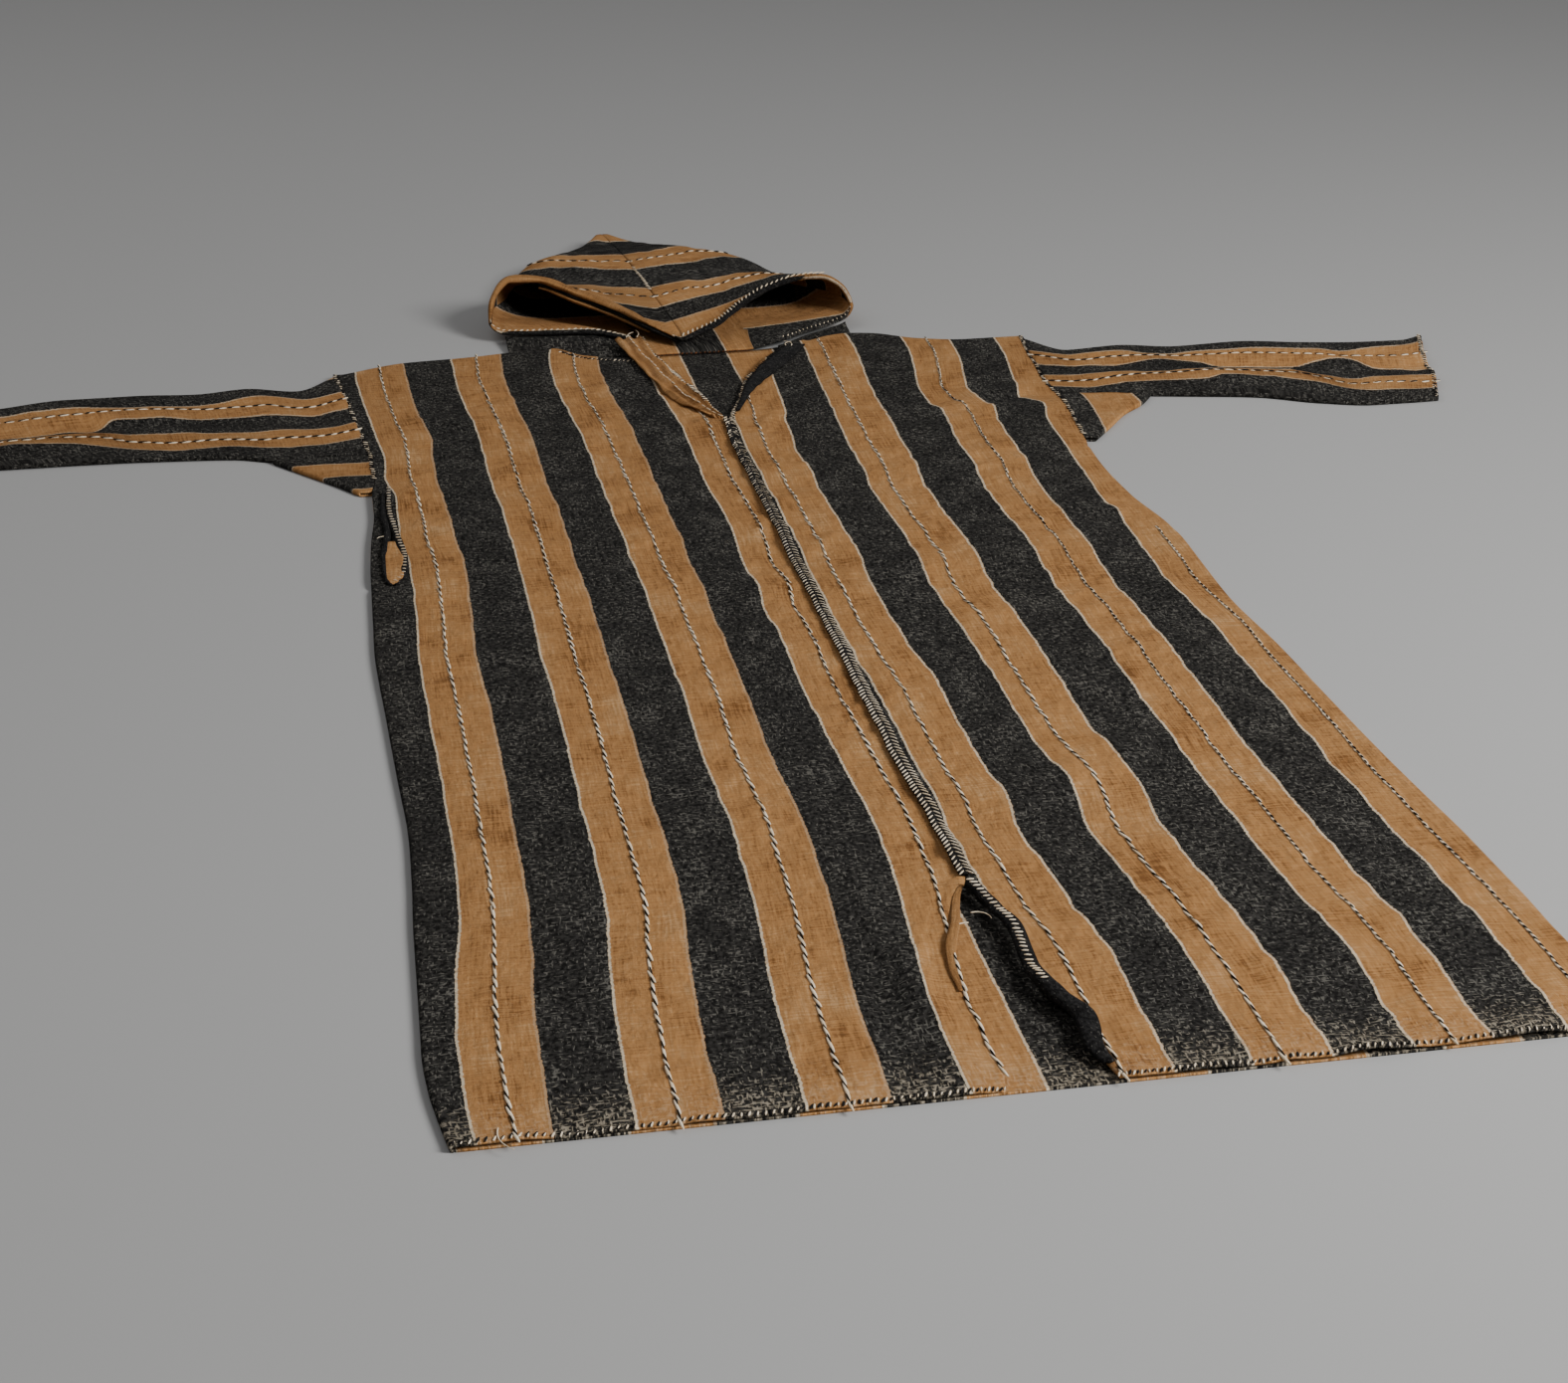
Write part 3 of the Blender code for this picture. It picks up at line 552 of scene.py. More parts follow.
def rumple(x: Array, y: Array, size_x: float, size_y: float, seed: int) -> Array:
    """Smooth random height from -1 to 1 that changes over the given sizes.

    Args:
        x: Places across.
        y: Places along.
        size_x: Distance across over which the height changes.
        size_y: Distance along over which it changes.
        seed: Seed of the fixed random numbers.

    Returns:
        The heights.
    """
    count = 97
    heights = np.random.default_rng(seed).uniform(-1, 1, (count, count))
    gx, gy = np.asarray(x) / size_x + count * 4, np.asarray(y) / size_y + count * 4
    ix, iy = np.floor(gx).astype(int), np.floor(gy).astype(int)
    fx, fy = gx - ix, gy - iy
    fx, fy = fx * fx * (3 - 2 * fx), fy * fy * (3 - 2 * fy)
    ix, iy, jx, jy = ix % count, iy % count, (ix + 1) % count, (iy + 1) % count
    low = heights[ix, iy] * (1 - fx) + heights[jx, iy] * fx
    high = heights[ix, jy] * (1 - fx) + heights[jx, jy] * fx
    return low * (1 - fy) + high * fy


def waves(layers: Sequence[tuple], x: Array, y: Array) -> Array:
    """Sum of layers of smooth random height, each with its height, two sizes and seed."""
    return sum(height * rumple(x, y, wide, tall, seed) for height, wide, tall, seed in layers)


def creased(creases: Sequence[Crease], x: Array, y: Array) -> Array:
    """Height that creases add at places on the plan.

    Args:
        creases: The ridges and troughs.
        x: Places across.
        y: Places along.

    Returns:
        The added heights.
    """
    height = np.zeros(np.broadcast(x, y).shape)
    for crease in creases:
        turn = math.radians(crease.turn)
        east, north = x - crease.x, y - crease.y
        along = north * math.cos(turn) - east * math.sin(turn)
        across = north * math.sin(turn) + east * math.cos(turn)
        height += crease.height * np.exp(-((along / crease.along) ** 2) - (across / crease.across) ** 2)
    return height


OPEN_EDGE = 0.02  # a fold less tight than this is an open edge
FRONT_WAVES = ((0.0013, 0.055, 0.034, 3), (0.0013, 0.024, 0.017, 4), (0.0007, 0.012, 0.010, 5))  # height, sizes, seed
FRONT_WAVE_LIFT = 0.0004
FRONT_FADE_TOP = 1.335


def fold_extent(tightness: Array) -> Array:
    """How far cloth that goes round a fold reaches past the fold's start."""
    safe = np.maximum(tightness, OPEN_EDGE)
    round_it = FOLD_RADIUS / safe * np.sin(np.minimum(math.pi * safe, math.pi / 2))
    return np.where(np.asarray(tightness) < OPEN_EDGE, FOLD_REACH, round_it)


def fold_over(distance: Array, tightness: Array) -> tuple[Array, Array]:
    """Reach and drop of a point that lies a distance past the fold's start.

    Args:
        distance: How far round the cloth the point is.
        tightness: 1 for a full fold, 0 for an open edge.

    Returns:
        The reach past the fold's start, and the drop below it.
    """
    safe = np.maximum(tightness, OPEN_EDGE)
    radius = FOLD_RADIUS / safe
    angle = distance / radius
    folded = (np.asarray(tightness) >= OPEN_EDGE) & (distance > 0)
    reach = np.where(folded, radius * np.sin(angle), distance)
    drop = np.where(folded, np.minimum(EDGE_HEIGHT, radius * (1 - np.cos(angle))), 0.0)
    return reach, drop


def front_height(x: Array, y: Array) -> Array:
    """Height of the fronts' upper face at places on the plan."""
    left = x - curved(BODY, "left", y)
    right = curved(BODY, "right", y) - x
    inside = np.minimum(left, right) - FOLD_REACH
    fade = smooth_step(0.0, CREASE_FADE, np.minimum(inside, FRONT_FADE_TOP - y))
    return EDGE_HEIGHT + (creased(FRONT_CREASES, x, y) + waves(FRONT_WAVES, x, y) + FRONT_WAVE_LIFT) * fade


def drift(table: Sequence[SwayRow], places: Sequence[float], x: Array, y: Array) -> Array:
    """How far the stripes have drifted sideways from straight at places on the plan.

    Args:
        table: The drift at heights up the plan.
        places: The x of the table's five columns.
        x: Places across.
        y: Places along.

    Returns:
        The drift in metres, to the right.
    """
    columns = ("far_left", "left", "middle", "right", "far_right")
    values = np.stack([curved(table, column, y) for column in columns])
    x = np.clip(x, places[0], places[-1] - 1e-9)
    k = np.clip(np.searchsorted(places, x, side="right") - 1, 0, len(places) - 2)
    low, high = np.array(places)[k], np.array(places)[k + 1]
    share = (x - low) / (high - low)
    share = share * share * (3 - 2 * share)
    one = np.take_along_axis(values, k[None], axis=0)[0]
    two = np.take_along_axis(values, k[None] + 1, axis=0)[0]
    return (one + (two - one) * share) / 1000


# --------------------------------------------------------------------------------------------------------------
# Materials


class NodeBench:
    """A node tree that is filled by short calls."""

    def __init__(self, tree: bpy.types.NodeTree) -> None:
        """Takes the tree to fill."""
        self.tree = tree
        self.count = 0

    def node(self, kind: str, inputs: Optional[dict] = None, **settings: object) -> bpy.types.Node:
        """Adds a node, sets its properties and feeds its inputs."""
        made = self.tree.nodes.new(kind)
        self.count += 1
        made.location = (-180 * (self.count % 12) - 200, -160 * (self.count // 12))
        for key, value in settings.items():
            setattr(made, key, value)
        for key, value in (inputs or {}).items():
            self.feed(made.inputs[key], value)
        return made

    def out(self, kind: str, inputs: Optional[dict] = None, **settings: object) -> Socket:
        """Adds a node and returns its first output."""
        return self.node(kind, inputs, **settings).outputs[0]

    def feed(self, socket: Socket, value: object) -> None:
        """Links a socket to an output, or sets it to a plain value."""
        if isinstance(value, Socket):
            self.tree.links.new(value, socket)
        else:
            socket.default_value = value

    def math(self, operation: str, *values: object) -> Socket:
        """Adds a Math node on numbers or outputs."""
        return self.out("ShaderNodeMath", dict(enumerate(values)), operation=operation)

    def times(self, *values: object) -> Socket:
        """Multiplies two numbers or outputs; a third is added to their product."""
        return self.math("MULTIPLY" if len(values) == 2 else "MULTIPLY_ADD", *values)


class Bench(NodeBench):
    """A material's node tree."""

    def __init__(self, name: str) -> None:
        """Starts an empty material with its output and shader."""
        self.material = bpy.data.materials.new(name)
        self.material.use_nodes = True
        super().__init__(self.material.node_tree)
        self.shader = self.tree.nodes["Principled BSDF"]

    def soft_step(self, value: object, low: float, high: float) -> Socket:
        """0 below low, 1 above high, with a soft step between; low may be the larger."""
        rising = low <= high
        inputs = {
            "Value": value, "From Min": min(low, high), "From Max": max(low, high),
            "To Min": 0.0 if rising else 1.0, "To Max": 1.0 if rising else 0.0,
        }
        return self.out("ShaderNodeMapRange", inputs, interpolation_type="SMOOTHSTEP")

    def blend(self, share: object, one: object, two: object) -> Socket:
        """Mixes two colours by a share."""
        return self.node("ShaderNodeMix", {0: share, 6: one, 7: two}, data_type="RGBA").outputs[2]

    def noise(self, vector: object, scale: tuple[float, float, float], detail: float = 2.0) -> Socket:
        """Noise from 0 to 1 on a vector, at so many waves in a metre along each of its directions."""
        stretched = self.out("ShaderNodeVectorMath", {0: vector, 1: scale}, operation="MULTIPLY")
        inputs = {"Vector": stretched, "Scale": 1.0, "Detail": detail}
        return self.node("ShaderNodeTexNoise", inputs).outputs["Fac"]

    def relief(self, height: object, distance: float, strength: float = 1.0) -> None:
        """Puts a bump under the shader: its height from 0 to 1, and how deep 1 is in metres."""
        bump_map = self.out("ShaderNodeBump", {"Height": height, "Distance": distance, "Strength": strength})
        self.feed(self.shader.inputs["Normal"], bump_map)

    def finish(self, colour: object, **settings: float) -> Material:
        """Sets the shader's colour and its other inputs, and returns the material."""
        self.feed(self.shader.inputs["Base Color"], colour)
        for key, value in settings.items():
            self.shader.inputs[key.replace("_", " ").title().replace("Ior", "IOR")].default_value = value
        return self.material


NAP = dict(specular_ior_level=0.05, sheen_roughness=0.6)  # what all yarn and cloth share


Colour = tuple[float, float, float, float]


@dataclass(frozen=True)
class StripedCloth:
    """The hand-woven cloth: brown and black stripes, cream lines between them, flecks and slubs."""

    name: str
    brown_start: float = 0.0
    near_line: float = 1.0
    far_line: float = 1.0
    hem_flecks: float = 0.0
    brown: Colour = (0.500, 0.247, 0.088, 1.0)
    brown_deep: Colour = (0.235, 0.098, 0.028, 1.0)
    brown_pale: Colour = (0.660, 0.390, 0.180, 1.0)
    black: Colour = (0.0068, 0.0063, 0.0059, 1.0)
    black_worn: Colour = (0.0420, 0.0395, 0.0355, 1.0)
    fleck: Colour = (0.200, 0.188, 0.162, 1.0)
    cream: Colour = (0.820, 0.690, 0.500, 1.0)
    line_width: float = 0.0019
    thread: float = 0.0011

    def build(self) -> Material:
        """Makes the material; it reads the piece's "cloth" UV map, in metres."""
        bench = Bench(self.name)
        cloth = bench.node("ShaderNodeUVMap", uv_map="cloth").outputs["UV"]
        split = bench.node("ShaderNodeSeparateXYZ", {0: cloth})
        across, along = split.outputs["X"], split.outputs["Y"]

        # the edges of a stripe waver a little, thread by thread
        slow = bench.noise(cloth, (14.0, 30.0, 1.0), 1.0)
        quick = bench.noise(cloth, (140.0, 420.0, 1.0))
        waver = bench.times(slow, 0.0024, bench.times(quick, 0.0024))
        shifted = bench.math("ADD", across, bench.math("SUBTRACT", waver, 0.0024 + self.brown_start))
        place = bench.times(bench.math("FRACT", bench.math("DIVIDE", shifted, REPEAT)), REPEAT)
        soft = 0.0005
        past_near = bench.soft_step(place, 0.0, soft)
        before_far = bench.soft_step(place, BROWN_WIDTH + soft / 2, BROWN_WIDTH - soft / 2)
        in_brown = bench.times(past_near, before_far)

        colour, worn = self._ground(bench, cloth, in_brown)
        colour = self._lines(bench, cloth, colour, place)
        colour, weave = self._threads(bench, cloth, colour, in_brown, across, along)
        crinkle = bench.noise(cloth, (110.0, 85.0, 1.0), 3.0)
        height = bench.times(weave, 0.30, bench.times(worn, 0.35))
        height = bench.times(crinkle, 2.6, height)
        bench.relief(height, 0.0022, 1.0)
        return bench.finish(colour, roughness=0.95, sheen_weight=0.015, **NAP)

    def _ground(self, bench: Bench, cloth: object, in_brown: object) -> tuple[object, object]:
        """Colours the brown and black stripes, with their slubs and worn places.

        Args:
            bench: The material's bench.
            cloth: The cloth's coordinates.
            in_brown: 1 where the cloth is brown.

        Returns:
            The colour, and the noise of the worn places.
        """
        warp = bench.noise(cloth, (620.0, 34.0, 1.0))
        weft = bench.noise(cloth, (46.0, 560.0, 1.0))
        patch = bench.noise(cloth, (22.0, 16.0, 1.0), 3.0)
        grain = bench.noise(cloth, (330.0, 260.0, 1.0), 3.0)
        slubs = bench.math("ADD", bench.times(warp, 0.5), bench.times(weft, 0.5))
        shade = bench.math("ADD", bench.times(slubs, 0.6), bench.times(patch, 0.4))
        brown = bench.blend(bench.soft_step(shade, 0.36, 0.50), self.brown_deep, self.brown)
        brown = bench.blend(bench.soft_step(shade, 0.51, 0.66), brown, self.brown_pale)
        black = bench.blend(bench.soft_step(grain, 0.38, 0.64), self.black, self.black_worn)
        return bench.blend(in_brown, black, brown), grain

    def _lines(self, bench: Bench, cloth: object, colour: object, place: object) -> object:
        """Lays the cream lines along both edges of each brown stripe.

        Args:
            bench: The material's bench.
            cloth: The cloth's coordinates.
            colour: The colour so far.
            place: Distance across the repeat.

        Returns:
            The colour with the lines.
        """
        broken = bench.soft_step(bench.noise(cloth, (60.0, 190.0, 1.0)), 0.28, 0.50)
        half = self.line_width / 2
        for middle, strength in ((half, self.near_line), (BROWN_WIDTH - half, self.far_line)):
            if strength <= 0:
                continue
            off = bench.math("ABSOLUTE", bench.math("SUBTRACT", place, middle))
            line = bench.soft_step(off, half * 1.15, half * 0.55)
            patchy = bench.times(broken, 0.55, 0.45)
            share = bench.times(bench.times(line, patchy), strength)
            colour = bench.blend(share, colour, self.cream)
        return colour

    def _threads(
        self, bench: Bench, cloth: object, colour: object, in_brown: object, across: object, along: object
    ) -> tuple[object, object]:
        """Adds pale flecks, and painted shade in the low points of the weave.

        Args:
            bench: The material's bench.
            cloth: The cloth's coordinates.
            colour: The colour so far.
            in_brown: 1 where the cloth is brown.
            across: Distance across the stripes.
            along: Distance along them.

        Returns:
            The colour, and the weave's height.
        """
        tall = bench.noise(cloth, (620.0, 210.0, 1.0), 1.0)
        wide = bench.noise(cloth, (190.0, 640.0, 1.0), 1.0)
        crowd = bench.noise(cloth, (36.0, 28.0, 1.0))
        fleck = bench.math("MAXIMUM", tall, wide)
        level = bench.times(crowd, 0.26, fleck)
        share = bench.soft_step(level, 0.720, 0.84)
        black_only = bench.math("SUBTRACT", 1.0, in_brown)
        amount = bench.times(black_only, 0.50, 0.25)
        pale = bench.blend(in_brown, self.fleck, self.brown_pale)
        colour = bench.blend(bench.times(share, amount), colour, pale)
        if self.hem_flecks > 0:
            near = bench.soft_step(along, 0.070, 0.000)
            rough = bench.soft_step(bench.times(near, 0.17, fleck), 0.66, 0.84)
            near = bench.times(near, bench.times(black_only, 0.35, 0.30))
            dust = bench.times(bench.times(near, rough), self.hem_flecks)
            colour = bench.blend(dust, colour, self.cream)
        turns = 2 * math.pi / self.thread
        warp = bench.math("SINE", bench.times(across, turns))
        weft = bench.math("SINE", bench.times(along, turns * 0.92))
        woven = bench.times(warp, weft)
        weave = bench.times(woven, 0.5, bench.times(fleck, 0.9))
        # painted shade: darkens the weave's low points, where its bump height is least
        dark = bench.times(bench.soft_step(woven, 0.15, -0.75), 0.26)
        colour = bench.blend(dark, colour, (0.02, 0.014, 0.009, 1.0))
        return colour, weave


@dataclass(frozen=True)
class Yarn:
    """Spun yarn of one colour, for stitches, floats and loose ends."""

    name: str
    colour: Colour
    shade: Colour
    roughness: float = 0.85

    def build(self) -> Material:
        """Makes the material."""
        bench = Bench(self.name)
        place = bench.node("ShaderNodeTexCoord").outputs["Object"]
        hairs = bench.noise(place, (1500.0, 1500.0, 1500.0))
        slow = bench.noise(place, (55.0, 55.0, 55.0))
        share = bench.soft_step(bench.times(hairs, 0.6, bench.times(slow, 0.4)), 0.35, 0.62)
        bench.relief(hairs, 0.0003, 0.6)
        colour = bench.blend(share, self.shade, self.colour)
        return bench.finish(colour, roughness=self.roughness, sheen_weight=0.02, **NAP)


@dataclass(frozen=True)
class DarkCloth:
    """Charcoal cloth of the neck band, the rolled selvedge and the seam's core."""

    name: str = "charcoal cloth"
    deep: Colour = (0.0050, 0.0046, 0.0046, 1.0)
    worn: Colour = (0.0180, 0.0170, 0.0165, 1.0)
    fleck: Colour = (0.150, 0.142, 0.122, 1.0)

    def build(self) -> Material:
        """Makes the material."""
        bench = Bench(self.name)
        place = bench.node("ShaderNodeTexCoord").outputs["Object"]
        grain = bench.noise(place, (420.0, 300.0, 420.0), 3.0)
        bits = bench.noise(place, (800.0, 420.0, 800.0), 1.0)
        colour = bench.blend(bench.soft_step(grain, 0.38, 0.68), self.deep, self.worn)
        colour = bench.blend(bench.times(bench.soft_step(bits, 0.64, 0.74), 0.5), colour, self.fleck)
        bench.relief(bench.math("ADD", grain, bits), 0.0007, 0.8)
        return bench.finish(colour, roughness=0.95, sheen_weight=0.015, **NAP)


@dataclass(frozen=True)
class StudioFloor:
    """The plain pale floor."""

    name: str = "studio floor"
    colour: Colour = (0.375, 0.372, 0.365, 1.0)

    def build(self) -> Material:
        """Makes the material."""
        return Bench(self.name).finish(self.colour, roughness=0.85, specular_ior_level=0.2)


class Finishes:
    """Every finish of the robe, made once."""

    def __init__(self) -> None:
        """Builds the materials."""
        self.front_left = StripedCloth("striped cloth, left front", LEFT_FIRST_BROWN, 1.0, 0.28, 0.6).build()
        self.front_right = StripedCloth("striped cloth, right front", RIGHT_FIRST_BROWN, 0.95, 0.9, 0.6).build()
        self.back = StripedCloth("striped cloth, back", BACK_FIRST_BROWN, 0.9, 0.9, 0.7).build()
        self.sleeves = StripedCloth("striped cloth, sleeves", 0.0, 0.6, 0.6).build()
        self.hood = StripedCloth("striped cloth, hood", 0.0, 0.8, 0.5).build()
        self.facing = StripedCloth("striped cloth, facing", 0.0, 0.0, 0.9).build()
        self.dark = DarkCloth().build()
        self.cream = Yarn("cream yarn", (0.88, 0.76, 0.58, 1.0), (0.56, 0.43, 0.27, 1.0)).build()
        self.black = Yarn("black yarn", (0.018, 0.016, 0.015, 1.0), (0.008, 0.007, 0.007, 1.0)).build()
        self.rust = Yarn("rust yarn", (0.26, 0.085, 0.030, 1.0), (0.12, 0.040, 0.016, 1.0)).build()


# --------------------------------------------------------------------------------------------------------------
# Making pieces


def put(name: str, data: bpy.types.ID) -> Piece:
    """Makes an object of its data and links it to the scene."""
    made = bpy.data.objects.new(name, data)
    bpy.context.scene.collection.objects.link(made)
    return made


class Layout:
    def __init__(self) -> None:
        """Reads the place of the plan from the back panel's solid."""
        low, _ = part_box("back_panel")
        self.shift = np.array([low.x - BACK_LEFT, low.y, 0.0])

    def mesh(
        self, name: str, points: Array, faces: list, material: Material, uv: Optional[Array] = None
    ) -> Piece:
        """Makes an object of points on the plan.

        Args:
            name: The piece's name.
            points: Its points, one row each.
            faces: Its faces, as lists of point numbers.
            material: Its material.
            uv: Cloth coordinates, one row for each corner of each face.

        Returns:
            The object, at the origin, with its place in its mesh.
        """
        mesh = bpy.data.meshes.new(name)
        mesh.from_pydata((np.asarray(points) + self.shift).tolist(), [], faces)
        if uv is not None:
            layer = mesh.uv_layers.new(name="cloth")
            layer.data.foreach_set("uv", np.asarray(uv, np.float32).ravel())
        mesh.shade_smooth()
        mesh.materials.append(material)
        return put(name, mesh)

    def sheet(
        self, name: str, points: Array, cloth: Array, material: Material, wrap: bool = False, flip: bool = False,
    ) -> Piece:
        """Makes a piece of cloth from a grid of points on its outer face.

        Args:
            name: The piece's name.
            points: The grid, rows by columns by 3.
            cloth: Cloth coordinates, rows by columns by 2, with one more column where it wraps.
            material: Its material.
            wrap: Whether the last column joins the first.
            flip: Whether the faces turn over.

        Returns:
            The piece, with a Solidify wall.
        """
        rows, columns = points.shape[:2]
        i, j = np.meshgrid(np.arange(rows - 1), np.arange(columns if wrap else columns - 1), indexing="ij")
        i, j = i.ravel(), j.ravel()
        k = (j + 1) % columns
        faces = np.stack([i * columns + j, i * columns + k, (i + 1) * columns + k, (i + 1) * columns + j], 1)
        wide = cloth.shape[1]
        corners = np.stack([i * wide + j, i * wide + j + 1, (i + 1) * wide + j + 1, (i + 1) * wide + j], 1)
        if flip:
            faces, corners = faces[:, ::-1], corners[:, ::-1]
        uv = cloth.reshape(-1, 2)[corners.ravel()]
        piece = self.mesh(name, points.reshape(-1, 3), faces.tolist(), material, uv)
        thick = piece.modifiers.new("cloth wall", "SOLIDIFY")
        thick.thickness = CLOTH
        thick.offset = -1.0
        return piece

    def path(self, name: str, lines: Sequence[Guide]) -> Piece:
        """Makes a guide of lines for stitches to follow.

        Args:
            name: The guide's name.
            lines: For each line, its points and the directions away from the cloth.

        Returns:
            An object of edges with an "up" attribute.
        """
        points, ups, edges, start = [], [], [], 0
        for line, up in lines:
            points.append(line)
            ups.append(up)
            edges += [(start + n, start + n + 1) for n in range(len(line) - 1)]
            start += len(line)
        mesh = bpy.data.meshes.new(name)
        mesh.from_pydata((np.concatenate(points) + self.shift).tolist(), edges, [])
        layer = mesh.attributes.new("up", "FLOAT_VECTOR", "POINT")
        layer.data.foreach_set("vector", np.concatenate(ups).astype(np.float32).ravel())
        return put(name, mesh)


def report(piece: Piece, slot: Slot, *nodes: str) -> Piece:
    """Rides a finished piece on the robe, hides the CAD parts it stands for, and logs it.

    Args:
        piece: The finished piece.
        slot: The record's material slot; not used.
        nodes: The CAD nodes that it stands for.

    Returns:
        The piece.
    """
    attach(piece, BODY_NAME)
    if nodes:
        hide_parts(*nodes)
    log.info("%s: %d faces", piece.name, len(piece.data.polygons))
    return piece


def normals(points: Array) -> Array:
    """Unit normals of a grid of points.

    Args:
        points: The grid, rows by columns by 3.

    Returns:
        The normals, of the same shape.
    """
    down = np.gradient(points, axis=0)
    over = np.gradient(points, axis=1)
    cross = np.cross(over, down)
    return cross / np.maximum(np.linalg.norm(cross, axis=2, keepdims=True), 1e-12)


def trace(points: Array, across: Array, value: float) -> Guide:
    """Follows one line of the cloth, row by row, over a grid.

    Args:
        points: The grid, rows by columns by 3.
        across: The cloth coordinate that keeps its value along the line, rows by columns.
        value: That value.

    Returns:
        The line's points, and the directions away from the cloth, turned to face up.
    """
    away = normals(points)
    away = away * np.where(away[..., 2:] < 0, -1.0, 1.0)
    line, ups = [], []
    for n in range(points.shape[0]):
        row = across[n] - value
        hits = np.nonzero(row[:-1] * row[1:] <= 0)[0]
        if len(hits):
            k = hits[0]
            span = row[k + 1] - row[k]
            share = 0.0 if abs(span) < 1e-12 else -row[k] / span
            line.append(points[n, k] * (1 - share) + points[n, k + 1] * share)
            ups.append(away[n, k])
    return np.array(line), np.array(ups)


class StitchTree(NodeBench):
    """The Geometry Nodes tree that lays stitches or floats of yarn along a guide."""

    SIZES = ("Pitch", "Start", "Length", "Width", "Height", "Side", "Lift", "Slant", "Unevenness")
    FARTHEST = 100.0  # longer than any guide
    BALL = {"Segments": 7, "Rings": 6, "Radius": 0.5}

    def __init__(self) -> None:
        """Builds the tree and keeps the keys of its inputs."""
        super().__init__(bpy.data.node_groups.new("stitches along a guide", "GeometryNodeTree"))
        kinds = {"Geometry": "Geometry", **dict.fromkeys(self.SIZES, "Float"), "Seed": "Int", "Yarn": "Material"}
        face = self.tree.interface
        self.keys = {
            name: face.new_socket(name, in_out="INPUT", socket_type="NodeSocket" + kind).identifier
            for name, kind in kinds.items()
        }
        face.new_socket("Geometry", in_out="OUTPUT", socket_type="NodeSocketGeometry")
        given = self.node("NodeGroupInput").outputs
        tangent = self.out("GeometryNodeInputTangent")
        away = self.out("GeometryNodeInputNamedAttribute", {"Name": "up"}, data_type="FLOAT_VECTOR")
        size = self.math("ADD", 1.0, self._uneven(given, 0.6, 13.0))
        inputs = {
            "Points": self._points(given, tangent, away), "Instance": self._spindle(given),
            "Rotation": self._turned(given, tangent, away), "Scale": size,
        }
        placed = self.out("GeometryNodeInstanceOnPoints", inputs)
        real = self.out("GeometryNodeRealizeInstances", {"Geometry": placed})
        smooth = self.out("GeometryNodeSetShadeSmooth", {"Geometry": real})
        dressed = self.out("GeometryNodeSetMaterial", {"Geometry": smooth, "Material": given["Yarn"]})
        self.node("NodeGroupOutput", {"Geometry": dressed})

    def _vector(self, operation: str, one: object, two: object) -> Socket:
        """Adds a Vector Math node; a SCALE takes its factor second."""
        inputs = {0: one, "Scale" if operation == "SCALE" else 1: two}
        return self.out("ShaderNodeVectorMath", inputs, operation=operation)

    def _uneven(self, given: object, limit: float, seed: float) -> Socket:
        """A random number up to a limit either way, times the run's unevenness; the seed is added to the run's."""
        seeded = self.math("ADD", given["Seed"], seed) if seed else given["Seed"]
        drawn = self.node("FunctionNodeRandomValue", {2: -limit, 3: limit, "Seed": seeded}, data_type="FLOAT")
        return self.math("MULTIPLY", drawn.outputs[1], given["Unevenness"])

    def _points(self, given: object, tangent: object, away: object) -> Socket:
        """Points along the guide, a pitch apart, moved off it."""
        curve = self.out("GeometryNodeMeshToCurve", {"Mesh": given["Geometry"]})
        inputs = {"Curve": curve, 4: given["Start"], 5: self.FARTHEST}
        trimmed = self.out("GeometryNodeTrimCurve", inputs, mode="LENGTH")
        evenly = self.out("GeometryNodeResampleCurve", {"Curve": trimmed, "Length": given["Pitch"]}, mode="LENGTH")
        aside = self._vector("CROSS_PRODUCT", tangent, away)
        wander = self.math("MULTIPLY", self._uneven(given, 1.0, 0.0), given["Width"])
        sideways = self.math("ADD", given["Side"], wander)
        up = self._vector("SCALE", away, given["Lift"])
        offset = self._vector("ADD", up, self._vector("SCALE", aside, sideways))
        return self.out("GeometryNodeSetPosition", {"Geometry": evenly, "Offset": offset})

    def _turned(self, given: object, tangent: object, away: object) -> Socket:
        """A stitch's turn: upright on the cloth, along the guide, then slanted."""
        align = "FunctionNodeAlignRotationToVector"
        stand = self.out(align, {"Vector": away}, axis="Z")
        run = self.out(align, {"Rotation": stand, "Vector": tangent}, axis="X", pivot_axis="Z")
        angle = self.math("ADD", given["Slant"], self._uneven(given, 0.5, 7.0))
        turn = self.out("FunctionNodeAxisAngleToRotation", {"Axis": (0.0, 0.0, 1.0), "Angle": angle})
        return self.out("FunctionNodeRotateRotation", {"Rotation": run, "Rotate By": turn}, rotation_space="LOCAL")

    def _spindle(self, given: object) -> Socket:
        """One stitch: a ball drawn out to the run's sizes."""
        ball = self.out("GeometryNodeMeshUVSphere", self.BALL)
        laid = self.out("GeometryNodeTransform", {"Geometry": ball, "Rotation": (0.0, math.pi / 2, 0.0)})
        sizes = {n: given[name] for n, name in enumerate(("Length", "Width", "Height"))}
        return self.out("GeometryNodeTransform", {"Geometry": laid, "Scale": self.out("ShaderNodeCombineXYZ", sizes)})


@dataclass(frozen=True)
class StitchRun:
    """Sizes of one run of stitches, in metres and degrees."""

    pitch: float
    length: float
    width: float
    height: float
    slant: float = 0.0
    side: float = 0.0
    lift: float = 0.0004
    start: float = 0.0
    unevenness: float = 0.15
    seed: int = 1


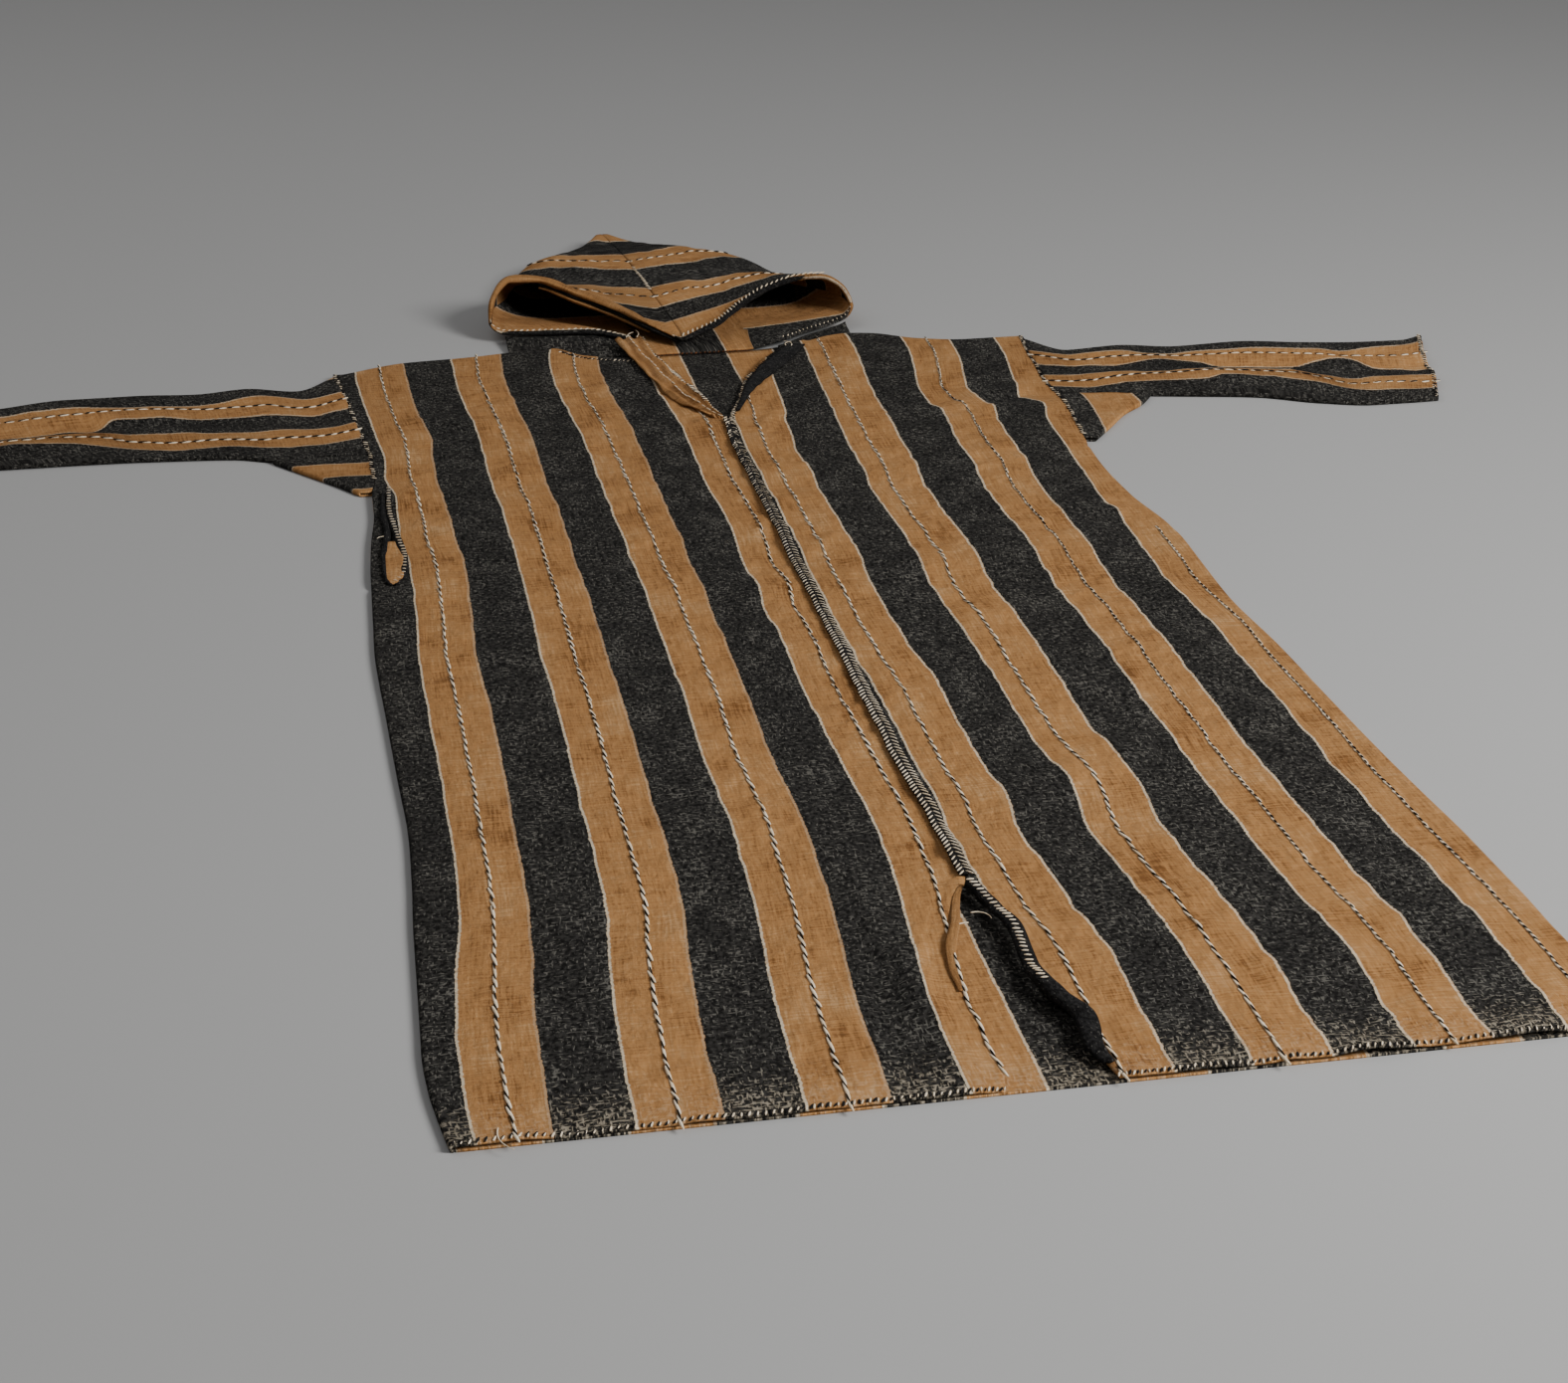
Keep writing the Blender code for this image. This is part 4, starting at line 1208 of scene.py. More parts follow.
class Needle:
    """Lays runs of stitches along guides and turns each run into a plain mesh piece."""

    def __init__(self, layout: Layout) -> None:
        """Makes the needle's tree.

        Args:
            layout: The layout that places guides.
        """
        self.layout = layout
        self.stitches = StitchTree()

    def sew(
        self, name: str, lines: Sequence[Guide], run: StitchRun, yarn: Material
    ) -> Piece:
        """Sews one run.

        Args:
            name: The piece's name.
            lines: The guide's lines, each with its points and directions away from the cloth.
            run: Sizes of the stitches.
            yarn: Their material.

        Returns:
            The finished piece.
        """
        guide = self.layout.path(name + "_guide", lines)
        modifier = guide.modifiers.new("stitches", "NODES")
        modifier.node_group = self.stitches.tree
        sizes = {size: getattr(run, size.lower()) for size in self.stitches.SIZES}
        sizes.update(Slant=math.radians(run.slant), Seed=run.seed, Yarn=yarn)
        for key, value in sizes.items():
            modifier[self.stitches.keys[key]] = value
        bpy.context.view_layer.update()
        graph = bpy.context.evaluated_depsgraph_get()
        mesh = bpy.data.meshes.new_from_object(guide.evaluated_get(graph), depsgraph=graph)
        mesh.name = name
        if not mesh.materials:
            mesh.materials.append(yarn)
        bpy.data.objects.remove(guide)
        return report(put(name, mesh), Slot.YARN)


# --------------------------------------------------------------------------------------------------------------
# The robe's sub-assemblies

UP = np.array([0.0, 0.0, 1.0])


def upright(points: Array) -> Guide:
    """A guide line whose directions away from the cloth all point up."""
    return points, np.tile(UP, (len(points), 1))


@dataclass
class FrontPanel:
    """One front: flat from its centre edge to the side, then round the side fold and the shoulder fold."""

    side: Side
    layout: Layout
    cloth: Material
    columns: int = 84
    rows: int = 320
    fold_steps: int = 6
    shaping_start: float = 0.80
    flat: tuple[float, float] = (0.355, 1.385)
    points: Array = field(init=False)
    across: Array = field(init=False)

    def _steps(self, count: int) -> tuple[Array, Array]:
        """Shares of the flat part, and how far past the fold's start each step lies."""
        flat = np.linspace(0, 1, count + 1)
        past = FOLD_REACH * np.arange(1, self.fold_steps + 1) / self.fold_steps
        return np.concatenate([flat, np.ones(len(past))]), np.concatenate([np.zeros(len(flat)), past])

    def build(self) -> Piece:
        """Makes the panel."""
        name, sign = self.side.word, self.side.value
        share, past = (values[None, :] for values in self._steps(self.columns))
        climb, over = (values[:, None] for values in self._steps(self.rows))
        level = climb * BODY_TOP
        top_fold = straight(FRONT_TOP, f"{name}_fold", share, "share")
        top = curved(FRONT_TOP, name, share, "share") - fold_extent(top_fold)
        y = level + (top - BODY_TOP) * smooth_step(self.shaping_start, 1.0, climb)
        side_fold = straight(BODY, f"{name}_fold", level)
        fold_line = curved(BODY, name, level) - sign * fold_extent(side_fold)
        inner = curved(BODY, f"{name}_front", level)
        x = inner + share * (fold_line - inner)
        past_x, drop_x = fold_over(past, side_fold)
        past_y, drop_y = fold_over(over, top_fold)
        height = np.where((over == 0) & (past == 0), front_height(x, y), EDGE_HEIGHT)
        self.points = grid(x + sign * past_x, y + past_y, height - drop_x - drop_y)
        flat_x, flat_y = np.broadcast_arrays(x + sign * past, y + over)
        left = self.side is Side.LEFT
        table, places = (LEFT_SWAY, LEFT_SWAY_PLACES) if left else (RIGHT_SWAY, RIGHT_SWAY_PLACES)
        self.across = flat_x - drift(table, places, flat_x, flat_y)
        cloth = grid(self.across, flat_y)
        piece = self.layout.sheet(f"front_{name}_cloth", self.points, cloth, self.cloth, flip=left)
        report(piece, Slot.STRIPED, f"front_{name}_panel")
        return piece

    def line(self, value: float) -> Guide:
        """Follows one warp line of the flat part of the cloth."""
        flat = slice(0, self.rows + 1)
        return trace(self.points[flat, : self.columns + 1], self.across[flat, : self.columns + 1], value)

    def edge(self, low: float, high: float, inset: float = 0.0015) -> Guide:
        """The panel's free centre edge between two heights up the plan."""
        row = self.points[: self.rows + 1, 0] + np.array([self.side.value * inset, 0.0, 0.0])
        return upright(row[(row[:, 1] >= low) & (row[:, 1] <= high)])

    def neckline(self, low: float, high: float) -> Guide:
        """The panel's free top edge between two shares of the way to the armhole."""
        first, last = int(low * self.columns), int(high * self.columns) + 1
        return upright(self.points[self.rows, first:last] - np.array([0.0, 0.0015, 0.0]))

    def hem(self) -> Guide:
        """The panel's hem edge."""
        return upright(self.points[0, : self.columns + 1] + np.array([0.0, 0.0015, 0.0]))


@dataclass
class BackPanel:
    """The back: one flat sheet on the surface, inside the fronts' side and shoulder folds."""

    layout: Layout
    cloth: Material
    columns: int = 84
    rows: int = 150
    shaping_start: float = 0.80
    fold_start: float = 0.05
    flat: tuple[float, float] = (0.690, 1.372)

    def build(self) -> Piece:
        """Makes the back."""
        level = np.linspace(0, BODY_TOP, self.rows + 1)[:, None]
        left_inset = FOLD_INSET * smooth_step(0.0, self.fold_start, straight(BODY, "left_fold", level))
        right_inset = FOLD_INSET * smooth_step(0.0, self.fold_start, straight(BODY, "right_fold", level))
        left = curved(BODY, "left", level) + left_inset
        right = curved(BODY, "right", level) - right_inset
        x = left + (right - left) * np.linspace(0, 1, self.columns + 1)[None, :]
        rise = straight(BACK_TOP, "y", x, "x") - BODY_TOP
        y = level + rise * smooth_step(self.shaping_start, 1.0, level / BODY_TOP)
        piece = self.layout.sheet("back_cloth", grid(x, y, 0.0), grid(x, y), self.cloth, flip=True)
        report(piece, Slot.STRIPED, "back_panel")
        return piece


@dataclass
class Sleeve:
    """A flattened tube from the armhole to the cuff, open at both ends."""

    side: Side
    layout: Layout
    cloth: Material
    table: Sequence[SleeveRow]
    bands: Sequence[BandRow]
    rows: int = 110
    lower_steps: int = 36
    upper_steps: int = 66
    fold_steps: int = 6
    rolling: tuple = ((0.0016, 0.050, 0.16, 21), (0.0007, 0.016, 0.07, 22))
    flat: tuple[float, float] = (0.395, 0.460)
    area: float = 0.1313
    points: Array = field(init=False)
    across: Array = field(init=False)

    def _height(self, share: Array, reach: Array, crest: Array) -> Array:
        """Height of the upper layer at a share of the way across it and a reach from the armhole."""
        lift = sum(fold.share * bump(share, fold.place, fold.width) for fold in SLEEVE_FOLDS)
        arch = np.sqrt(np.clip(np.sin(math.pi * share), 0, 1))
        rolling = waves(self.rolling, reach, share)
        return EDGE_HEIGHT + ((crest - EDGE_HEIGHT) * np.minimum(1.0, lift) + rolling) * arch

    def _stripes(self, reach: Array, share: Array, width: Array) -> Array:
        """Distance across the stripes at a share of the way from the far edge to the near one."""
        edges = [curved(self.bands, name, reach, "reach") for name in ("first", "second", "third", "fourth")]
        marks = (0.0, BROWN_WIDTH, REPEAT, REPEAT + BROWN_WIDTH)
        value = (share - edges[0]) * width
        for low, high, one, two in zip(edges, edges[1:], marks, marks[1:]):
            inside = one + (two - one) * (share - low) / (high - low)
            value = np.where(share > low, inside, value)
        spare = REPEAT - BROWN_WIDTH - FOLD_REACH - STRIPE_MARGIN
        beyond = marks[3] + np.minimum((share - edges[3]) * width, spare)
        return np.where(share > edges[3], beyond, value)

    def build(self) -> Piece:
        """Makes the sleeve."""
        name, sign = self.side.word, self.side.value
        reach = np.linspace(0, self.table[-1].reach, self.rows + 1)[:, None]
        low, high, crest = (curved(self.table, column, reach, "reach") for column in ("low", "high", "crest"))
        width = high - low - EDGE_HEIGHT
        under = np.linspace(0, 1, self.lower_steps + 1)[None, :]
        over = np.linspace(1, 0, self.upper_steps + 1)[None, :]
        angle = (math.pi * np.arange(1, self.fold_steps) / self.fold_steps)[None, :]
        none = np.zeros_like(reach)
        far = self._stripes(reach, none, width)
        near = self._stripes(reach, none + 1, width)
        y = np.concatenate([
            low + FOLD_RADIUS + width * under, high - FOLD_RADIUS * (1 - np.sin(angle)),
            low + FOLD_RADIUS + width * over, low + FOLD_RADIUS * (1 - np.sin(angle)),
        ], axis=1)
        z = np.concatenate([
            none + 0 * under, none + FOLD_RADIUS * (1 - np.cos(angle)),
            self._height(over + none, reach + 0 * over, crest), none + FOLD_RADIUS * (1 + np.cos(angle)),
        ], axis=1)
        self.across = np.concatenate([
            far - FOLD_REACH - width * (1 - under), far - FOLD_RADIUS * (math.pi - angle),
            self._stripes(reach, 1 - over, width), near + FOLD_RADIUS * angle, near + FOLD_REACH,
        ], axis=1)
        root = curved(BODY, name, y) + sign * ARMHOLE_GAP
        slant = CUFF_SLANT * (y - low) / (high - low) * reach / self.table[-1].reach
        self.points = grid(root + sign * (reach + slant), y, z)
        left = self.side is Side.LEFT
        cloth = grid(self.across, reach)
        piece = self.layout.sheet(f"sleeve_{name}_cloth", self.points, cloth, self.cloth, wrap=True, flip=left)
        report(piece, Slot.STRIPED, f"sleeve_{name}")
        return piece

    @property
    def upper(self) -> slice:
        """The columns of the upper layer."""
        start = self.lower_steps + self.fold_steps
        return slice(start, start + self.upper_steps + 1)

    def line(self, value: float) -> Guide:
        """Follows one warp line of the upper layer."""
        return trace(self.points[:, self.upper], self.across[:, self.upper], value)

    def cuff(self) -> Guide:
        """The cuff's upper edge."""
        return upright(self.points[-1, self.upper] - np.array([self.side.value * 0.0028, 0.0, 0.0]))


@dataclass
class Gusset:
    """A folded underarm gusset: lower layer, outer fold, upper layer."""

    side: Side
    layout: Layout
    cloth: Material
    table: Sequence[GussetRow]
    lengthwise: bool
    brown_start: float
    brown_height: float = 0.034
    rows: int = 26
    layer_steps: int = 12
    fold_steps: int = 8
    flat: tuple[float, float] = (0.150, 0.140)
    area: float = 0.0105

    def build(self) -> Piece:
        """Makes the gusset."""
        name, sign = self.side.word, self.side.value
        step = np.linspace(0, len(self.table) - 1, self.rows + 1)[:, None]
        arm_y, fold_x, fold_y = by_number(self.table, step, "armhole_y", "fold_x", "fold_y")
        inner = curved(BODY, name, arm_y) + sign * SEAM_GAP
        fold = fold_x - sign * FOLD_RADIUS
        out = np.linspace(0, 1, self.layer_steps + 1)[None, :]
        angle = (math.pi * np.arange(1, self.fold_steps) / self.fold_steps)[None, :]
        back = out[:, ::-1]
        x = np.concatenate([
            inner + (fold - inner) * out, fold + sign * FOLD_RADIUS * np.sin(angle), inner + (fold - inner) * back,
        ], axis=1)
        y = np.concatenate([
            arm_y + (fold_y - arm_y) * out, fold_y + 0 * angle, arm_y + (fold_y - arm_y) * back,
        ], axis=1)
        soft = 0.0008 * rumple(x[:, -out.size:], y[:, -out.size:], 0.018, 0.012, 31) * np.sin(math.pi * back)
        z = np.concatenate([
            0 * (inner + out), FOLD_RADIUS * (1 - np.cos(angle)) + 0 * inner, EDGE_HEIGHT + soft,
        ], axis=1)
        if self.lengthwise:
            cloth = grid((y - self.brown_start) * BROWN_WIDTH / self.brown_height, x)
        else:
            cloth = grid(x - self.brown_start - inner, y)
        right = self.side is Side.RIGHT
        piece = self.layout.sheet(f"gusset_{name}_cloth", grid(x, y, z), cloth, self.cloth, flip=right)
        report(piece, Slot.STRIPED, f"gusset_{name}")
        return piece


class HoodBand(NamedTuple):
    """An edge between two stripes of the hood: its place along the seam, and across the cloth's repeat."""

    seam_y: float
    across: float


HOOD_BANDS = rows_of(
    HoodBand,
    (1.3, BROWN_WIDTH - REPEAT), (1.362, 0), (1.398, BROWN_WIDTH), (1.425, REPEAT),
    (1.468, REPEAT + BROWN_WIDTH), (1.55, 2 * REPEAT), (1.622, 2 * REPEAT + BROWN_WIDTH), (1.694, 3 * REPEAT),
    (1.76, 3 * REPEAT + BROWN_WIDTH / 2),
)


@dataclass
class HoodHalf:
    """Half of the hood, from the back seam through its lower layer, side fold and upper layer to the top seam."""

    side: Side
    layout: Layout
    cloth: Material
    mouth: Sequence[MouthRow]
    columns: int = 156
    rows: int = 120
    settle: float = 0.30
    over_neck: float = CLOTH + SEAM_GAP
    over_shoulder: float = 0.0065
    mitre: float = 0.42
    inner_brown: float = 1.412
    inner_width: float = 0.075
    neck_half_width: float = 0.055
    ripples: tuple = ((0.0022, 0.030, 0.045, 41), (0.0010, 0.011, 0.016, 42))
    flat: tuple[float, float] = (0.330, 0.420)
    area: float = 0.105
    points: Array = field(init=False)
    across: Array = field(init=False)

    def _lower(self, x: Array, y: Array) -> Array:
        """Height of the lower layer: over the neck and shoulders, then down to the surface."""
        lift = self.over_neck + (self.over_shoulder - self.over_neck) * smooth_step(0.050, 0.085, np.abs(x))
        edge = straight(BACK_TOP, "y", x, "x") + FOLD_INSET
        return lift * (1 - smooth_step(edge + 0.003, edge + 0.020, y))

    def build(self) -> Piece:
        """Makes the half."""
        name, sign = self.side.word, self.side.value
        step = np.linspace(0, len(self.mouth) - 1, self.columns + 1)[None, :]
        edge_x, edge_y, edge_z, across = by_number(self.mouth, step, "x", "y", "z", "across")
        side_mark = next(n for n, row in enumerate(self.mouth) if row.across == 1.0)
        upper = step > side_mark
        station = np.linspace(0, 1, self.rows + 1)[:, None]
        y = edge_y + (HOOD[-1].y - edge_y) * station
        centre = curved(HOOD, "centre", y) + sign * SEAM_GAP
        outer, crest = curved(HOOD, name, y), curved(HOOD, "crest", y)
        flat_x = centre + across * (outer - centre)
        high = crest * 0.5 * (1 + np.sqrt(np.clip(1 - across**4, 0, 1)))
        low = self._lower(flat_x, y) + crest * 0.5 * across**12
        settled = smooth_step(0.0, self.settle, station)
        x = edge_x + (flat_x - edge_x) * settled
        z = edge_z + (np.where(upper, high, low) - edge_z) * settled
        z = np.where(upper, z, np.maximum(z, self._lower(x, y)))
        ripple = waves(self.ripples, x, y)
        free = np.clip(4 * across * (1 - across), 0, 1) * np.clip(6 * station, 0, 1) * np.clip(8 * (1 - station), 0, 1)
        z = z + np.where(upper, ripple * free, 0.0)
        self.points = grid(x, y, z)
        seam_y = y - self.mitre * np.abs(x - centre)
        places = [band.seam_y for band in HOOD_BANDS]
        outside = np.interp(seam_y, places, [band.across for band in HOOD_BANDS])
        inside = (y - self.inner_brown) * BROWN_WIDTH / self.inner_width
        inside = np.where(np.abs(x) < self.neck_half_width, x - BACK_FIRST_BROWN, inside)
        self.across = np.where(upper, outside, inside)
        girth = np.cumsum(np.hypot(np.diff(x, axis=1, prepend=x[:, :1]), np.diff(z, axis=1, prepend=z[:, :1])), axis=1)
        cloth, right = grid(self.across, girth), self.side is Side.RIGHT
        piece = self.layout.sheet(f"hood_{name}_cloth", self.points, cloth, self.cloth, flip=right)
        report(piece, Slot.STRIPED, f"hood_{name}")
        return piece

    def lip(self, low: int, high: int) -> Guide:
        """The free edge between two rows of the mouth's table, with the cloth's own directions."""
        share = self.columns / (len(self.mouth) - 1)
        part = slice(int(low * share), int(high * share) + 1)
        away = normals(self.points)[1, part]
        away = away * np.where(away[:, 2:] < 0, -1.0, 1.0)
        return self.points[1, part], away

    def seam(self, low: float, high: float) -> Guide:
        """The top seam's line between two heights up the plan."""
        line = self.points[:, -1] + np.array([0.0, 0.0, 0.0006])
        return upright(line[(line[:, 1] >= low) & (line[:, 1] <= high)])

    def line(self, value: float) -> Guide:
        """Follows one warp line over the upper layer, from the side to the seam."""
        part = slice(int(self.columns * 0.52), self.columns + 1)
        turned = self.points[:, part].transpose(1, 0, 2)
        return trace(turned, self.across[:, part].T, value)


@dataclass
class NeckTrim:
    """The facing strip left of the neck opening and the dark band right of it."""

    layout: Layout
    finishes: Finishes
    strip_width: float = 0.027
    strip_foot: float = 0.30
    band_width: float = 0.022
    rows: int = 80
    columns: int = 18
    strip: Array = field(init=False)
    band: Array = field(init=False)

    def build(self) -> None:
        """Makes both."""
        share = np.linspace(0, 1, self.columns + 1)[None, :]
        y = np.linspace(STRIP[0].y, STRIP[-1].y, self.rows + 1)[:, None]
        width = self.strip_width * np.maximum(self.strip_foot, smooth_step(1.10, 1.20, y))
        x = curved(STRIP, "edge", y) - width * (1 - share)
        pleats = 0.0015 * np.sin(2 * math.pi * (2.6 * share + 0.4 * rumple(y, y, 0.06, 0.06, 51)))
        z = front_height(x, y) + SEAM_GAP + CLOTH + 0.0010 + curved(STRIP, "lift", y) + pleats
        self.strip = grid(x, y, z)
        cloth = grid(0.012 + 0.034 * share, y)
        piece = self.layout.sheet("placket_strip_cloth", self.strip, cloth, self.finishes.facing)
        report(piece, Slot.STRIPED, "placket_strip")

        y = np.linspace(NECK_BAND[0].y, NECK_BAND[-1].y, self.rows + 1)[:, None]
        x = curved(NECK_BAND, "edge", y) + self.band_width * curved(NECK_BAND, "width", y) * share
        z = front_height(x, y) + SEAM_GAP + CLOTH + 0.0008 * np.sin(math.pi * share)
        self.band = grid(x, y, z)
        piece = self.layout.sheet("neck_band_cloth", self.band, self.band[..., :2], self.finishes.dark)
        report(piece, Slot.DARK, "neck_band_right")


@dataclass
class RoundBar:
    """A flattened round bar that lies along the robe: the seam's ridge, or the rolled selvedge."""

    layout: Layout
    cloth: Material
    sides: int = 16

    def build(self, name: str, y: Array, left: Array, bottom: Array, width: Array, height: Array) -> Piece:
        """Makes a capped bar.

        Args:
            name: The piece's name.
            y: Places along the robe.
            left: The bar's left side at each.
            bottom: Its underside at each.
            width: Its width at each.
            height: Its height at each.

        Returns:
            The bar.
        """
        angle = ring(self.sides)
        x = left[:, None] + width[:, None] / 2 * (1 + np.cos(angle))
        z = bottom[:, None] + height[:, None] / 2 * (1 + np.sin(angle))
        points = grid(x, y[:, None], z).reshape(-1, 3)
        return self.layout.mesh(name, points, tube_faces(len(y), self.sides), self.cloth)


@dataclass
class RolledLip:
    """A turned and rolled edge of cloth that follows a guide line."""

    layout: Layout
    sides: int = 14
    turns: float = 0.055
    unevenness: float = 0.18

    def build(
        self, name: str, line: Guide, cloth: Material, slot: Slot, width: float, seed: int,
        shade: float = BROWN_WIDTH / 4, flatness: float = 0.62, drop: float = 0.0,
    ) -> Piece:
        """Makes a roll.

        Args:
            name: The piece's name.
            line: The guide's points and the directions away from the cloth.
            cloth: The roll's material.
            slot: The record's material slot.
            width: Width of the roll at its middle; it tapers towards both ends.
            seed: Seed of its unevenness.
            shade: Where the roll lies across the cloth's repeat.
            flatness: Height of the roll as a share of its width.
            drop: How far the roll hangs below the guide.

        Returns:
            The roll.
        """
        points, away = line
        tangent = np.gradient(points, axis=0)
        tangent /= np.maximum(np.linalg.norm(tangent, axis=1, keepdims=True), 1e-9)
        aside = np.cross(tangent, away)
        aside /= np.maximum(np.linalg.norm(aside, axis=1, keepdims=True), 1e-9)
        lift = np.cross(aside, tangent)
        along = np.cumsum(np.linalg.norm(np.diff(points, axis=0, prepend=points[:1]), axis=1))
        share = along / along[-1]
        uneven = 1 + self.unevenness * rumple(along, along, 0.018, 0.018, seed)
        half = width / 2 * uneven * np.sqrt(np.clip(np.sin(math.pi * np.clip(share, 0.02, 0.98)), 0, 1)) ** 0.6
        angle = ring(self.sides)
        pleat = 1 + 0.10 * np.sin(5 * angle + 2 * rumple(along, along, self.turns, self.turns, seed + 1)[:, None])
        over = (half[:, None] * np.cos(angle) * pleat)[..., None] * aside[:, None, :]
        up = (half[:, None] * flatness * np.sin(angle) * pleat)[..., None] * lift[:, None, :]
        rings = points[:, None, :] + over + up - np.array([0.0, 0.0, drop])
        faces = tube_faces(len(points), self.sides)
        cloth_map = grid(shade + 0.012 * np.cos(angle), along[:, None]).reshape(-1, 2)
        uv = np.concatenate([cloth_map[face] for face in faces])
        piece = self.layout.mesh(name, rings.reshape(-1, 3), faces, cloth, uv)
        build = bmesh.new()
        build.from_mesh(piece.data)
        bmesh.ops.recalc_face_normals(build, faces=build.faces)
        build.to_mesh(piece.data)
        build.free()
        return report(piece, slot)


@dataclass
class NeckHollow:
    """The hood's neck edge where it goes down from its lower lip to the shoulder, in the dark of the neck."""

    layout: Layout
    cloth: Material
    mouth: Sequence[MouthRow]
    side: Side
    first: int = 2
    last: int = 5
    columns: int = 48
    rows: int = 16
    shoulder_height: float = 0.0024
    flat: tuple[float, float] = (0.124, 0.055)
    area: float = 0.0061

    def build(self) -> Piece:
        """Makes the piece."""
        step = np.linspace(self.first, self.last, self.columns + 1)[None, :]
        x, lip_y, lip_z = by_number(self.mouth, step, "x", "y", "z")
        foot_y = straight(BACK_TOP, "y", x, "x") - 0.006
        foot_z = self.shoulder_height
        share = np.linspace(0, 1, self.rows + 1)[:, None]
        y = foot_y + (lip_y - foot_y) * share
        folds = 0.0012 * np.sin(math.pi * share) * rumple(x, y, 0.016, 0.012, 71)
        z = foot_z + (lip_z - 0.0026 - foot_z) * share**1.4 + folds
        points = grid(x, y, np.maximum(z, foot_z))
        cloth = grid(BROWN_WIDTH + 0.004 + 0.030 * share, x)
        name = f"hood_neck_edge_{self.side.word}"
        piece = self.layout.sheet(name, points, cloth, self.cloth, flip=self.side is Side.LEFT)
        report(piece, Slot.STRIPED)
        return piece


@dataclass
class CentreSeam:
    """The whip-stitched ridge that joins the fronts, from the hem slit to the neck opening."""

    layout: Layout
    finishes: Finishes
    needle: Needle
    start: float = 0.238
    end: float = 1.126
    width: float = 0.011
    height: float = 0.0032
    core_share: float = 0.80
    pitch: float = 0.0050

    def build(self) -> None:
        """Makes the core and its two rows of cream and black whip stitches."""
        y = np.linspace(self.start, self.end, 180)
        middle = curved(BODY, "left_front", y) + 0.0006 * rumple(y, y, 0.030, 0.030, 61)
        bottom = front_height(middle, y) + 2 * SEAM_GAP
        core = self.width * self.core_share
        bar = RoundBar(self.layout, self.finishes.dark)
        piece = bar.build(
            "centre_seam_core", y, middle - core / 2, bottom, np.full_like(y, core), np.full_like(y, self.height * 0.75)
        )
        report(piece, Slot.YARN, "centre_seam_braid")
        line = [upright(grid(middle, y, bottom + self.height * 0.62))]
        for side, seed in ((Side.LEFT, 3), (Side.RIGHT, 4)):
            shift = -side.value * self.width * 0.23
            size = dict(length=0.0066, width=0.0011, height=0.0013, side=shift, slant=side.value * -42, seed=seed)
            cream = StitchRun(pitch=self.pitch, **size)
            dark = StitchRun(pitch=self.pitch, start=self.pitch / 2, **size)
            self.needle.sew(f"seam_whip_cream_{side.word}", line, cream, self.finishes.cream)
            self.needle.sew(f"seam_whip_black_{side.word}", line, dark, self.finishes.black)


@dataclass
class SlitSelvedge:
    """The rolled selvedge on the right of the hem slit, overcast in cream."""

    layout: Layout
    finishes: Finishes
    needle: Needle
    stitched_from: float = 0.095
    slimness: float = 0.80

    def build(self) -> None:
        """Makes the roll and its stitches."""
        y = np.linspace(ROLL[0].y, ROLL[-1].y, 90)
        left, width, height = (curved(ROLL, column, y) for column in ("left", "width", "height"))
        left, width, height = left + width * 0.08, width * self.slimness, height * self.slimness
        bottom = front_height(left, y) + 2 * SEAM_GAP
        piece = RoundBar(self.layout, self.finishes.dark).build("slit_roll", y, left, bottom, width, height)
        report(piece, Slot.DARK, "slit_selvedge")
        crest = upright(grid(left + width * 0.42, y, bottom + height)[y > self.stitched_from])
        run = StitchRun(pitch=0.0044, length=0.0050, width=0.0012, height=0.0012, slant=76, unevenness=0.3, seed=9)
        self.needle.sew("slit_overcast", [crest], run, self.finishes.cream)


@dataclass
class TwistedFloats:
    """The two-coloured yarn that runs down the middle of each brown stripe."""

    needle: Needle
    finishes: Finishes
    pitch: float = 0.0118
    middle: float = BROWN_WIDTH / 2
    aside: float = 0.005  # how far the two lines beside the centre seam lie left of their stripes' middles
    side_top: float = 0.80  # where the right-most line ends
    shortest: int = 4  # a hood line of no more points than this is left out

    def build(self, left: FrontPanel, right: FrontPanel, sleeves: Sequence[Sleeve], hood: Sequence[HoodHalf]) -> None:
        """Lays every line of floats.

        Args:
            left: The left front.
            right: The right front.
            sleeves: Both sleeves.
            hood: Both halves of the hood.
        """
        first = RIGHT_FIRST_BROWN + self.middle
        self._lay("floats_left", [left.line(LEFT_FIRST_BROWN + self.middle + n * REPEAT) for n in range(4)])
        self._lay("floats_middle", [right.line(first - self.aside + n * REPEAT) for n in range(2)])
        points, away = right.line(first + 3 * REPEAT)
        low = points[:, 1] < self.side_top
        self._lay("floats_right", [right.line(first + 2 * REPEAT), (points[low], away[low])], beads=True)
        lines = [sleeve.line(self.middle + n * REPEAT) for sleeve in sleeves for n in range(2)]
        self._lay("floats_sleeves", lines, sparse=True)
        lines = [half.line(self.middle + n * REPEAT) for half in hood for n in (1, 2)]
        self._lay("floats_hood", [line for line in lines if len(line[0]) > self.shortest], sparse=True)

    def _lay(self, name: str, lines: Sequence[Guide], beads: bool = False, sparse: bool = False) -> None:
        """Lays cream floats with dark ones twisted between them.

        Args:
            name: Start of the pieces' names.
            lines: The guide's lines.
            beads: Whether the floats are short beads and not long ones.
            sparse: Whether the floats stand apart, with cloth between them.
        """
        pitch = self.pitch * (0.62 if beads else 1.0)
        length = pitch * (0.72 if sparse else 1.22)
        cream = StitchRun(pitch, length, 0.0021, 0.0014, slant=8, lift=0.0003, unevenness=0.20, seed=5)
        dark = StitchRun(pitch, pitch * 0.75, 0.0011, 0.0016, slant=9, lift=0.0007, start=pitch / 2, seed=6)
        self.needle.sew(f"{name}_cream", lines, cream, self.finishes.cream)
        self.needle.sew(f"{name}_dark", lines, dark, self.finishes.black)


